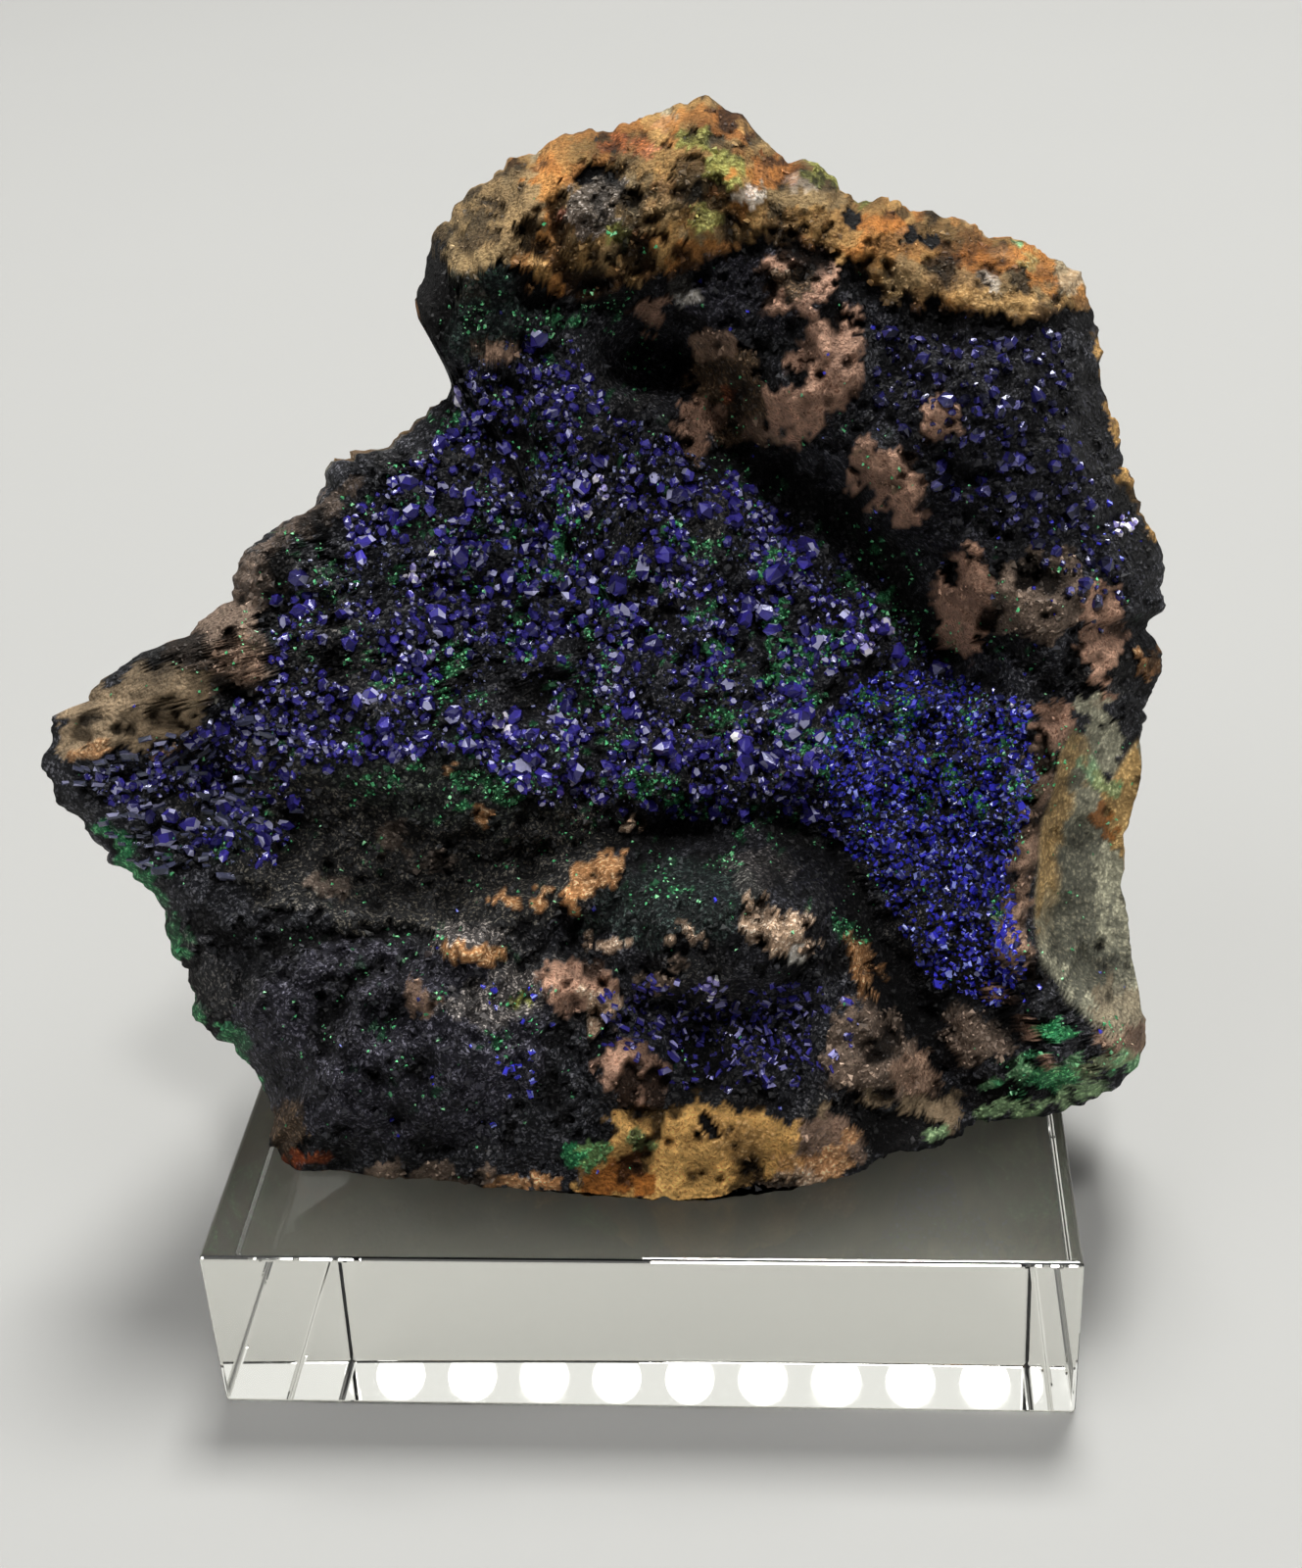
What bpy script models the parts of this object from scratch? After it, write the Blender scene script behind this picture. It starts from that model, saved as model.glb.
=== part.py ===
"""Azurite specimen: limonite rock with azurite druses, standing on a clear acrylic block.

Lengths are millimetres until a mesh is finished; MM turns them into metres. +Z is up and the
origin is the centre of the block's underside.

The rock's front is a leaning face. A place on it is (across, up) from FACE_ORIGIN. Relief is
laid off along lines that fan out from one point FAN_DISTANCE in front of the face, so the
outline, drawn in the face plane, holds whatever the relief is. Relief is positive outward.
"""
import math
import random

import bmesh
import bpy
import numpy as np
from mathutils import Matrix, Vector

MM = 0.001
GAP = 0.3                       # clearance between pieces that touch

# Acrylic block
BLOCK_SIDE = 50.0
BLOCK_HEIGHT = 11.3
BLOCK_EDGE = 0.7                # width of its polished edges

# Pose of the rock's face
FACE_ORIGIN = np.array((0.74, -6.90, 31.76))
FACE_TURN = math.radians(5.56)
FACE_LEAN = math.radians(29.51)
FACE_ROLL = math.radians(-3.26)
FAN_DISTANCE = 130.0

# Outline of the face, clockwise from the notch under the cap's left end: (across, up)
OUTLINE = (
    (-15.2, 19.8), (-12.0, 22.7), (-11.7, 23.4), (-12.4, 25.3), (-14.0, 27.7), (-13.3, 30.1),
    (-11.2, 33.9), (-8.9, 35.7), (-5.0, 38.2), (-1.4, 38.3), (2.0, 39.9), (3.3, 40.1),
    (5.3, 39.3), (7.5, 36.9), (10.5, 35.7), (11.9, 34.3), (17.8, 33.3), (20.4, 31.6),
    (22.4, 31.6), (25.2, 30.0), (26.5, 25.3), (26.1, 23.2), (28.3, 16.9), (29.8, 14.6),
    (29.6, 11.5), (30.0, 10.3), (29.0, 9.5), (29.8, 6.9), (28.6, 3.4), (27.7, -2.9),
    (27.5, -6.0), (28.8, -13.8), (28.6, -16.5), (26.3, -18.3), (23.6, -19.2), (19.3, -19.8),
    (13.5, -22.0), (7.8, -24.1), (2.9, -24.7), (-9.4, -24.5), (-20.9, -23.5), (-22.4, -21.0),
    (-22.1, -19.5), (-24.7, -15.2), (-26.9, -13.9), (-26.8, -12.3), (-28.7, -7.5),
    (-31.4, -4.5), (-34.7, -0.5), (-35.7, 1.1), (-34.7, 4.0), (-30.1, 7.7), (-27.2, 8.6),
    (-24.7, 10.9), (-23.8, 13.6), (-19.5, 16.5), (-18.3, 18.7),
)
OUTLINE_CENTRE = (0.9, 5.7)

# Relief of the outline itself, by compass angle in degrees (0 is to the right, 90 up)
RIM_RELIEF = (
    (-180, -3.0), (-172, -2.5), (-150, -5.0), (-135, -4.5), (-110, -1.0), (-90, 1.3), (-72, 0.5),
    (-55, -2.5), (-40, -3.0), (-25, -6.5), (0, -6.5), (30, -5.0), (50, -3.5), (75, -4.5),
    (100, -4.5), (118, -4.0), (128, -5.0), (150, -3.5), (168, -4.0),
)
RIM_ROUNDING = 13               # higher: the face stays flat nearer to its outline

# Lumps (height > 0) and pits (height < 0):
# name, across, up, half width, half height, turn in degrees, height, edge sharpness
LUMPS = (
    ("main druse hollow", 1.5, 8.5, 20.0, 11.0, -22, -5.0, 1.0),
    ("deep hole under the cap", -0.3, 25.0, 2.8, 2.4, 0, -4.5, 1.5),
    ("tan shelf, high", 9.0, 29.3, 3.0, 2.2, 0, 2.6, 1.5),
    ("tan shelf, middle", 9.4, 24.0, 3.0, 4.5, -8, 3.0, 1.5),
    ("tan shelf, low", 3.4, 21.8, 4.0, 2.4, 15, 1.8, 1.4),
    ("upper right shoulder", 19.5, 21.5, 6.5, 6.5, -30, 3.6, 1.6),
    ("tan knob at the gully", 13.4, 17.6, 1.8, 3.4, 30, 2.2, 1.5),
    ("tan mass with a hole", 19.6, 11.2, 3.6, 3.6, -40, 2.6, 1.5),
    ("hole in the tan mass", 17.9, 12.8, 0.9, 0.9, 0, -1.6, 1.5),
    ("right tan shoulder", 24.6, 7.6, 2.4, 5.0, 10, 1.6, 1.4),
    ("right bowl", 16.4, -3.0, 5.5, 8.5, 12, -4.2, 1.2),
    ("lower lump", 4.8, -8.0, 7.0, 4.2, 14, 5.4, 1.4),
    ("peak of the lower lump", 6.8, -4.3, 2.2, 1.8, 20, 1.6, 1.2),
    ("tan patch on the lower lump", 8.6, -9.6, 2.6, 1.6, -30, 1.2, 1.4),
    ("hollow under the lower lump", 4.6, -14.0, 6.5, 2.0, 0, -1.8, 1.5),
    ("ochre foot", 2.8, -21.0, 6.0, 2.4, 4, 2.8, 1.5),
    ("lower left mass", -14.5, -15.5, 9.5, 6.0, -8, 4.4, 1.4),
    ("tan knob of the lower left mass", -4.6, -12.6, 2.4, 2.4, 0, 1.4, 1.4),
    ("tan knob over the foot", -1.2, -16.8, 2.4, 1.8, 0, 1.2, 1.4),
    ("grey tan knob, lower right", 13.0, -15.4, 3.4, 2.6, 0, 2.2, 1.5),
    ("holes at the lower right", 15.8, -19.6, 3.2, 1.1, 16, -2.2, 1.5),
    ("lower right lip", 24.0, -16.0, 5.0, 2.2, 18, 2.4, 1.5),
    ("spur lump", -27.6, 6.6, 3.6, 2.8, 20, 2.6, 1.4),
    ("spur tip", -33.0, 2.8, 2.2, 2.0, 30, 1.2, 1.4),
    ("left end of the cap", -10.4, 29.6, 2.6, 3.2, 15, 1.4, 1.4),
    ("cap crown", 3.0, 36.8, 3.4, 2.4, 0, 1.2, 1.3),
    ("cap pit, top", -3.0, 35.6, 2.2, 1.0, 5, -1.8, 1.6),
    ("cap pit, left", -6.8, 31.8, 1.5, 1.1, 10, -1.6, 1.6),
    ("cap pit, middle", -3.9, 30.0, 1.8, 0.9, -10, -1.6, 1.6),
    ("cap pit, right", 16.6, 31.6, 1.8, 1.0, 0, -1.6, 1.6),
)

# Ridges (height > 0) and gullies (height < 0) along a line: name, line, half width, height
RIDGES = (
    ("upper gully", ((-0.3, 25.3), (5.5, 19.6), (10.6, 16.2), (14.7, 12.0), (17.2, 7.6)), 2.6, -6.5),
    ("lower gully", ((2.0, -2.9), (9.5, -3.4), (12.9, -7.5), (14.7, -12.1), (16.4, -16.6)), 2.3, -6.0),
    ("left trough", ((-24.9, 0.0), (-19.2, -2.9), (-12.3, -5.7), (-3.7, -3.4)), 3.6, -4.6),
    ("orange ridge", ((-11.7, -9.5), (-7.7, -7.5), (-2.0, -5.2)), 1.5, 2.8),
    ("upper left rim", ((-18.1, 18.4), (-22.6, 13.2), (-24.4, 10.3)), 1.8, 1.6),
    ("rim of the right bowl", ((22.6, 2.9), (21.8, -1.7), (21.2, -7.5), (22.6, -12.6)), 1.3, 2.6),
)

# The cap overhangs the face along this line, left to right; both ends lie off the rock
CAP_EDGE = (
    (-18.0, 24.0), (-13.5, 26.1), (-10.6, 28.1), (-7.1, 29.0), (-2.6, 28.7), (2.0, 30.4),
    (6.6, 31.9), (11.2, 30.9), (13.8, 28.7), (19.3, 27.3), (25.6, 27.7), (31.0, 28.0),
)
CAP_HEIGHT = 3.8
CAP_EDGE_WIDTH = 0.7

# The broken slab on the right falls away from this line, top to bottom; its ends lie off the rock
SLAB_EDGE = (
    (34.0, 10.5), (27.4, 6.6), (24.4, 3.6), (22.9, -1.7), (22.2, -7.5), (23.4, -12.2),
    (27.9, -14.4), (34.0, -15.5),
)
SLAB_FALL = 1.15                # millimetres back for each millimetre to the right

# Irregularity of the surface: cell size and height of each layer
ROUGHNESS = ((5.0, 1.0), (2.2, 0.7))
ROUGH_SEED = 11

# The hidden sides and back, broken along planes: outward direction, distance from BACK_CENTRE
BACK_CENTRE = np.array((0.0, 4.0, 36.0))
BACK_DEPTH = 36.0
BACK_SQUARENESS = 2.5
BREAKS = (
    ((0.06, 0.99, 0.10), 20.5),
    ((-0.72, 0.66, 0.20), 22.5),
    ((0.74, 0.66, -0.10), 24.0),
    ((0.12, 0.72, 0.68), 27.5),
    ((-0.50, 0.30, -0.80), 24.5),
    ((-0.90, 0.42, -0.10), 27.5),
)

BALL_SUBDIVISIONS = 4           # of the whole rock; its face is divided once more
FRONT_SHARE = 0.64              # share of the ball that becomes the face
RIM_SNAP = 0.018                # vertices this near the outline, as a share, are put on it

# Crystal crusts: borders on the face, in (across, up)
CRUST_THICKNESS = 0.7
CRUST_SEAT = 1.0                # how far the rock is set back under a crust
CRUST_SOFT_EDGE = 1.0
CRUST_EVENNESS = 0.5            # share of the roughness that is missing under a crust
MAIN_CRUST = (
    (-11.0, 26.2), (-4.8, 26.4), (-2.6, 22.2), (4.3, 18.4), (9.8, 14.8), (14.0, 10.4),
    (18.0, 6.2), (22.0, 4.6), (22.4, 0.0), (20.8, -5.7), (21.8, -11.3), (17.0, -12.6),
    (14.0, -5.7), (9.5, -2.2), (2.0, -2.0), (-6.0, -1.2), (-10.6, 1.6), (-18.6, 1.2),
    (-22.4, -5.0), (-29.0, -3.6), (-33.2, 0.4), (-26.4, 3.4), (-22.4, 6.3), (-22.0, 11.0),
    (-17.4, 16.0), (-11.2, 21.2),
)
UPPER_CRUST = (
    (12.6, 26.6), (24.2, 26.6), (24.8, 22.6), (25.6, 18.4), (27.2, 14.4), (27.6, 10.4),
    (26.2, 8.6), (24.0, 12.0), (20.4, 14.8), (15.6, 18.4), (12.8, 22.4),
)
LOWER_CRUST = (
    (-2.8, -11.2), (4.3, -11.6), (12.2, -11.8), (12.0, -15.4), (9.4, -17.8), (2.4, -18.2),
    (-3.2, -16.4),
)

# Crystals: blocky prisms that stand on pairs of a crust's triangles
CRYSTAL_SHARE = 0.72            # share of the pairs that carry one
CRYSTAL_HEIGHT = (0.6, 2.2)
CRYSTAL_TAPER = (0.40, 0.85)
CRYSTAL_SLANT = 0.7             # steepest slope of a crystal's top
PAIR_ANGLE = math.radians(55.0)

ROCK_COLOUR = (0.115, 0.078, 0.042, 1.0)
AZURITE_COLOUR = (0.018, 0.016, 0.13, 1.0)
ACRYLIC_COLOUR = (0.90, 0.93, 0.92, 1.0)


def clear_scene():
    """Remove whatever the file holds."""
    for old in list(bpy.data.objects):
        bpy.data.objects.remove(old, do_unlink=True)


def material(name, colour, roughness, transmission=0.0):
    """A Principled material with a plain colour."""
    made = bpy.data.materials.new(name)
    made.use_nodes = True
    shader = made.node_tree.nodes["Principled BSDF"]
    shader.inputs["Base Color"].default_value = colour
    shader.inputs["Roughness"].default_value = roughness
    shader.inputs["Metallic"].default_value = 0.0
    shader.inputs["Transmission Weight"].default_value = transmission
    made.diffuse_color = colour
    return made


def add_object(name, mesh, collection, finish):
    """Link a mesh as a named object in a collection, with one material."""
    made = bpy.data.objects.new(name, mesh)
    collection.objects.link(made)
    mesh.materials.clear()
    mesh.materials.append(finish)
    return made


# ---------------------------------------------------------------- face geometry

def face_axes():
    """Unit vectors across the face, up it and inward, as rows."""
    inward = np.array((
        -math.sin(FACE_TURN) * math.cos(FACE_LEAN),
        math.cos(FACE_TURN) * math.cos(FACE_LEAN),
        -math.sin(FACE_LEAN),
    ))
    level = np.array((math.cos(FACE_TURN), math.sin(FACE_TURN), 0.0))
    upright = np.cross(level, inward)
    across = math.cos(FACE_ROLL) * level + math.sin(FACE_ROLL) * upright
    up = math.cos(FACE_ROLL) * upright - math.sin(FACE_ROLL) * level
    return across, up, inward


def place_on_face(across, up, relief):
    """World points for places on the face at a relief, along the fan's lines."""
    axis_across, axis_up, inward = face_axes()
    fan_point = FACE_ORIGIN - FAN_DISTANCE * inward
    flat = FACE_ORIGIN + across[:, None] * axis_across + up[:, None] * axis_up
    reach = 1.0 - relief / FAN_DISTANCE
    return fan_point + (flat - fan_point) * reach[:, None]


def lattice_noise(points, cell, seed):
    """Smooth noise in -1..1: random values on a cubic lattice, blended between its corners."""
    scaled = points / cell
    corner = np.floor(scaled).astype(np.int64)
    step = scaled - corner
    step = step * step * (3.0 - 2.0 * step)
    total = np.zeros(len(points))
    for shift in np.ndindex(2, 2, 2):
        key = (corner + shift) * np.array((374761393, 668265263, 1442695041))
        mixed = key.sum(axis=1) + seed * 974634777
        mixed = (mixed ^ (mixed >> 13)) * 1274126177
        value = ((mixed ^ (mixed >> 16)) & 0xFFFF) / 32767.5 - 1.0
        weight = np.prod(np.where(np.array(shift) == 1, step, 1.0 - step), axis=1)
        total += value * weight
    return total


def roughness(points):
    """Sum of the roughness layers at some points."""
    total = np.zeros(len(points))
    for layer, (cell, height) in enumerate(ROUGHNESS):
        total += height * lattice_noise(points, cell, ROUGH_SEED + layer)
    return total


def line_distance(across, up, line):
    """Distance to an open line, and the signed side (positive to the left of its run)."""
    best = np.full(len(across), np.inf)
    side = np.zeros(len(across))
    for (a0, u0), (a1, u1) in zip(line, line[1:]):
        run_a, run_u = a1 - a0, u1 - u0
        along = ((across - a0) * run_a + (up - u0) * run_u) / (run_a ** 2 + run_u ** 2)
        along = np.clip(along, 0.0, 1.0)
        off_a = across - a0 - along * run_a
        off_u = up - u0 - along * run_u
        distance = np.hypot(off_a, off_u)
        nearer = distance < best
        turn = run_a * off_u - run_u * off_a
        side = np.where(nearer, np.sign(turn), side)
        best = np.where(nearer, distance, best)
    return best, side


def inside(across, up, border):
    """True where a place lies inside a closed border (even-odd rule)."""
    crossings = np.zeros(len(across), dtype=int)
    for (a0, u0), (a1, u1) in zip(border, border[1:] + border[:1]):
        spans = (u0 > up) != (u1 > up)
        rise = u1 - u0 if u1 != u0 else 1.0
        crossings += spans & (across < a0 + (up - u0) * (a1 - a0) / rise)
    return crossings % 2 == 1


def crust_cover(across, up):
    """1 well inside a crust's border, 0 outside all of them, with a soft edge."""
    cover = np.zeros(len(across))
    for border in (MAIN_CRUST, UPPER_CRUST, LOWER_CRUST):
        distance, _ = line_distance(across, up, border + border[:1])
        signed = np.where(inside(across, up, border), distance, -distance)
        cover = np.maximum(cover, np.clip(signed / CRUST_SOFT_EDGE, 0.0, 1.0))
    return cover


def face_relief(across, up):
    """Relief of the face: cap, lumps, pits, ridges, gullies and the seats of the crusts."""
    distance, side = line_distance(across, up, CAP_EDGE)
    relief = CAP_HEIGHT / (1.0 + np.exp(-side * distance / CAP_EDGE_WIDTH))
    for _, centre_a, centre_u, half_a, half_u, turn, height, sharpness in LUMPS:
        angle = math.radians(turn)
        off_a, off_u = across - centre_a, up - centre_u
        along = (off_a * math.cos(angle) + off_u * math.sin(angle)) / half_a
        beside = (off_u * math.cos(angle) - off_a * math.sin(angle)) / half_u
        relief += height * np.exp(-(along ** 2 + beside ** 2) ** sharpness)
    for _, line, half_width, height in RIDGES:
        distance, _ = line_distance(across, up, line)
        relief += height * np.exp(-(distance / half_width) ** 2)
    distance, side = line_distance(across, up, SLAB_EDGE)
    relief -= SLAB_FALL * np.where(side > 0, distance, 0.0)
    return relief - CRUST_SEAT * crust_cover(across, up)


def outline_radius(angle):
    """Distance from the outline's centre to the outline, by angle in radians."""
    points = np.array(OUTLINE) - OUTLINE_CENTRE
    angles = np.arctan2(points[:, 1], points[:, 0])
    return np.interp(angle, angles[np.argsort(angles)],
                     np.hypot(*points.T)[np.argsort(angles)], period=2.0 * math.pi)


def rim_relief(angle):
    """Relief of the outline, by angle in radians."""
    degrees, relief = np.array(RIM_RELIEF).T
    return np.interp(angle, np.radians(degrees), relief, period=2.0 * math.pi)


def rock_surface(directions):
    """Carry unit directions on a ball to the rock: -Y is the middle of the face.

    Equal areas of the ball go to equal areas of the face and of the back. Returns the world
    points and their (across, up); the back's places lie under the face's.
    """
    share = (1.0 + directions[:, 1]) / 2.0
    share = np.where(np.abs(share - FRONT_SHARE) < RIM_SNAP, FRONT_SHARE, share)
    front = share < FRONT_SHARE
    out_front = np.sqrt(np.clip(share / FRONT_SHARE, 0.0, 1.0))
    out_back = np.sqrt(np.clip((1.0 - share) / (1.0 - FRONT_SHARE), 0.0, 1.0))
    angle = np.arctan2(directions[:, 2], directions[:, 0])
    radius, rim = outline_radius(angle), rim_relief(angle)

    swing = (1.0 - out_back) * math.pi / 2.0
    narrow = np.cos(swing) ** (2.0 / BACK_SQUARENESS)
    deep = np.sin(swing) ** (2.0 / BACK_SQUARENESS)
    out = np.where(front, out_front, narrow) * radius
    across = OUTLINE_CENTRE[0] + out * np.cos(angle)
    up = OUTLINE_CENTRE[1] + out * np.sin(angle)

    flat = place_on_face(across, up, np.zeros(len(across)))
    rounding = 1.0 - out_front ** RIM_ROUNDING
    evenness = 1.0 - CRUST_EVENNESS * crust_cover(across, up)
    face = face_relief(across, up) + roughness(flat) * evenness
    relief = np.where(front, rim + (face - rim) * rounding, rim * narrow - BACK_DEPTH * deep)
    points = place_on_face(across, up, relief)

    back_weight = np.where(front, 0.0, 1.0)
    for direction, distance in BREAKS:
        normal = np.array(direction) / np.linalg.norm(direction)
        over = np.maximum((points - BACK_CENTRE) @ normal - distance, 0.0) * back_weight
        points -= over[:, None] * normal
    outward = points - BACK_CENTRE
    outward /= np.linalg.norm(outward, axis=1)[:, None]
    swell = roughness(points) * np.where(front, 0.0, 1.0 - out_back ** 4)
    points += outward * swell[:, None]
    return points, np.column_stack((across, up)), front


# ---------------------------------------------------------------- pieces

def make_block(collection):
    """The square acrylic block with narrow polished edges."""
    bm = bmesh.new()
    size = (BLOCK_SIDE * MM, BLOCK_SIDE * MM, BLOCK_HEIGHT * MM)
    bmesh.ops.create_cube(bm, size=1.0, matrix=Matrix.Diagonal((*size, 1.0)))
    mesh = bpy.data.meshes.new("acrylic_base")
    bm.to_mesh(mesh)
    bm.free()
    block = add_object("acrylic_base", mesh, collection, material("clear acrylic", ACRYLIC_COLOUR, 0.03, 1.0))
    block.location.z = BLOCK_HEIGHT * MM / 2.0
    edges = block.modifiers.new("polished edges", "BEVEL")
    edges.width = BLOCK_EDGE * MM
    edges.segments = 1
    return block


def make_rock(collection):
    """The rock: a ball carried to the rock's surface, cut flat where it stands on the block.

    Returns the surface before the cut, the (across, up) of each vertex, and which are in front.
    """
    bm = bmesh.new()
    bmesh.ops.create_icosphere(bm, subdivisions=BALL_SUBDIVISIONS, radius=1.0)
    back_start = 2.0 * FRONT_SHARE - 1.0
    front_edges = [e for e in bm.edges if min(v.co.y for v in e.verts) < back_start]
    bmesh.ops.subdivide_edges(bm, edges=front_edges, cuts=1, use_grid_fill=True)
    bmesh.ops.triangulate(bm, faces=bm.faces[:])
    directions = np.array([vertex.co for vertex in bm.verts])
    directions /= np.linalg.norm(directions, axis=1)[:, None]
    points, places, front = rock_surface(directions)
    for vertex, point in zip(bm.verts, points):
        vertex.co = Vector(point * MM)
    bm.normal_update()
    face = bm.copy()

    level = (BLOCK_HEIGHT + GAP) * MM
    cut = bmesh.ops.bisect_plane(
        bm, geom=bm.verts[:] + bm.edges[:] + bm.faces[:], dist=1e-6,
        plane_co=(0.0, 0.0, level), plane_no=(0.0, 0.0, -1.0), clear_outer=True,
    )
    rim = [item for item in cut["geom_cut"] if isinstance(item, bmesh.types.BMEdge)]
    bmesh.ops.edgeloop_fill(bm, edges=rim)
    bmesh.ops.triangulate(bm, faces=[f for f in bm.faces if len(f.verts) > 4])
    bmesh.ops.recalc_face_normals(bm, faces=bm.faces[:])
    mesh = bpy.data.meshes.new("matrix_rock")
    bm.to_mesh(mesh)
    bm.free()
    add_object("matrix_rock", mesh, collection, material("limonite rock", ROCK_COLOUR, 0.85))
    return face, places, front


def crust_patch(face, places, front, border):
    """The face's triangles inside a border, as one clean sheet, just off the rock."""
    bm = face.copy()
    bm.verts.ensure_lookup_table()
    normals = [vertex.normal.copy() for vertex in bm.verts]
    chosen = inside(places[:, 0], places[:, 1], border) & front
    loose = [f for f in bm.faces if not all(chosen[v.index] for v in f.verts)]
    for vertex, normal in zip(bm.verts, normals):
        vertex.co += normal * GAP * MM
    bmesh.ops.delete(bm, geom=loose, context="FACES")
    pinched = True
    while pinched:
        pinched = [v for v in bm.verts if sum(e.is_boundary for e in v.link_edges) > 2]
        doomed = {f for v in pinched for f in v.link_faces}
        bmesh.ops.delete(bm, geom=list(doomed), context="FACES")
    bmesh.ops.delete(bm, geom=[v for v in bm.verts if not v.link_faces], context="VERTS")
    return bm


def grow_crystal(bm, foot, chance):
    """Raise a face of the crust into a prism that narrows to a flat, slanting top."""
    centre = foot.calc_center_median()
    normal = foot.normal.copy()
    top = bmesh.ops.extrude_discrete_faces(bm, faces=[foot])["faces"][0]
    height = chance.triangular(*CRYSTAL_HEIGHT, CRYSTAL_HEIGHT[0]) * MM
    taper = chance.uniform(*CRYSTAL_TAPER)
    heading = Vector((chance.uniform(-1.0, 1.0), chance.uniform(-1.0, 1.0), chance.uniform(-1.0, 1.0)))
    slope = heading.cross(normal) * CRYSTAL_SLANT
    for vertex in top.verts:
        beside = vertex.co - centre
        beside -= normal * beside.dot(normal)
        beside *= taper
        vertex.co = centre + beside + normal * (height + slope.dot(beside))


def make_crust(name, border, seed, face_data, collection, finish):
    """A crust of crystals: a thin sheet over the face, with prisms grown on its outside."""
    bm = crust_patch(*face_data, border)
    chance = random.Random(seed)
    inner = set(bm.faces)
    bmesh.ops.solidify(bm, geom=bm.faces[:], thickness=-CRUST_THICKNESS * MM)
    bmesh.ops.recalc_face_normals(bm, faces=bm.faces[:])
    outer = [f for f in bm.faces if len(f.verts) == 3 and f not in inner]
    bmesh.ops.join_triangles(
        bm, faces=outer, angle_face_threshold=PAIR_ANGLE, angle_shape_threshold=math.pi,
    )
    edge_verts = {v for f in inner for e in f.edges if len(set(e.link_faces) & inner) == 1 for v in e.verts}
    side = {f for v in edge_verts for f in v.link_faces} - inner
    border_verts = {v for f in side for v in f.verts}
    pairs = [f for f in bm.faces if len(f.verts) == 4 and f not in side]
    for foot in pairs:
        if border_verts.isdisjoint(foot.verts) and chance.random() < CRYSTAL_SHARE:
            grow_crystal(bm, foot, chance)
    mesh = bpy.data.meshes.new(name)
    bm.to_mesh(mesh)
    bm.free()
    return add_object(name, mesh, collection, finish)


def main():
    """Build the specimen."""
    clear_scene()
    specimen = bpy.data.collections.new("azurite_specimen")
    bpy.context.scene.collection.children.link(specimen)
    make_block(specimen)
    face_data = make_rock(specimen)
    azurite = material("azurite", AZURITE_COLOUR, 0.2)
    crusts = (
        ("azurite_crust", MAIN_CRUST, 3),
        ("upper_azurite_crust", UPPER_CRUST, 4),
        ("lower_azurite_crust", LOWER_CRUST, 5),
    )
    for name, border, seed in crusts:
        make_crust(name, border, seed, face_data, specimen, azurite)
    face_data[0].free()


main()
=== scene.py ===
"""Looks of the azurite specimen: limonite rock with azurite druses on a clear acrylic block.

Lengths are millimetres until a mesh is finished; MM turns them into metres. +Z is up and the
origin is the centre of the block's underside. A place on the rock's leaning face is
(across, up); relief is positive outward, laid off along lines that fan out from one point.
"""

import logging
import math
from dataclasses import dataclass, field
from enum import Enum
from typing import Any, Callable, Mapping, Sequence

import bpy
import numpy as np
from mathutils import Matrix


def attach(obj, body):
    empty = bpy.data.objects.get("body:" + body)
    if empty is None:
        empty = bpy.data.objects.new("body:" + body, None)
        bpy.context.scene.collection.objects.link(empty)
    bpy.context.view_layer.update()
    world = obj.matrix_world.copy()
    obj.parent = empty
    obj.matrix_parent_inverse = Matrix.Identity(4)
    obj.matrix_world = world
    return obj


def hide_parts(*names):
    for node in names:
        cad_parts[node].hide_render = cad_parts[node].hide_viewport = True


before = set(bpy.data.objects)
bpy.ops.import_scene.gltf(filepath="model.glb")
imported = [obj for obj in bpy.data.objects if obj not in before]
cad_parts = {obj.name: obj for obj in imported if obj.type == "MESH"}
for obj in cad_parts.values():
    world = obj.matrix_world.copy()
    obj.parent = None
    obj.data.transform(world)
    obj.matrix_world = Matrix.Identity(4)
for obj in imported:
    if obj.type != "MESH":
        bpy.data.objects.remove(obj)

MM = 0.001
FULL_TURN = 2.0 * math.pi

Array = np.ndarray
Line = Sequence[tuple[float, float]]
Colour = tuple[float, float, float]

log = logging.getLogger("azurite_specimen")


# ---- noise on arrays

def hashed(corner: Array, seed: int) -> Array:
    """Random numbers in 0..1 for whole-numbered lattice corners.

    Formula: the three whole numbers are each multiplied by a large odd number and summed, and
    the sum's bits are mixed twice.

    Args:
        corner: lattice corners, as rows of three whole numbers.
        seed: chooses another set of numbers.

    Returns:
        One number for each corner.
    """
    key = (corner * np.array((374761393, 668265263, 1442695041))).sum(axis=-1)
    mixed = key + seed * 974634777
    mixed = (mixed ^ (mixed >> 13)) * 1274126177
    return ((mixed ^ (mixed >> 16)) & 0xFFFF) / 65535.0


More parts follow.
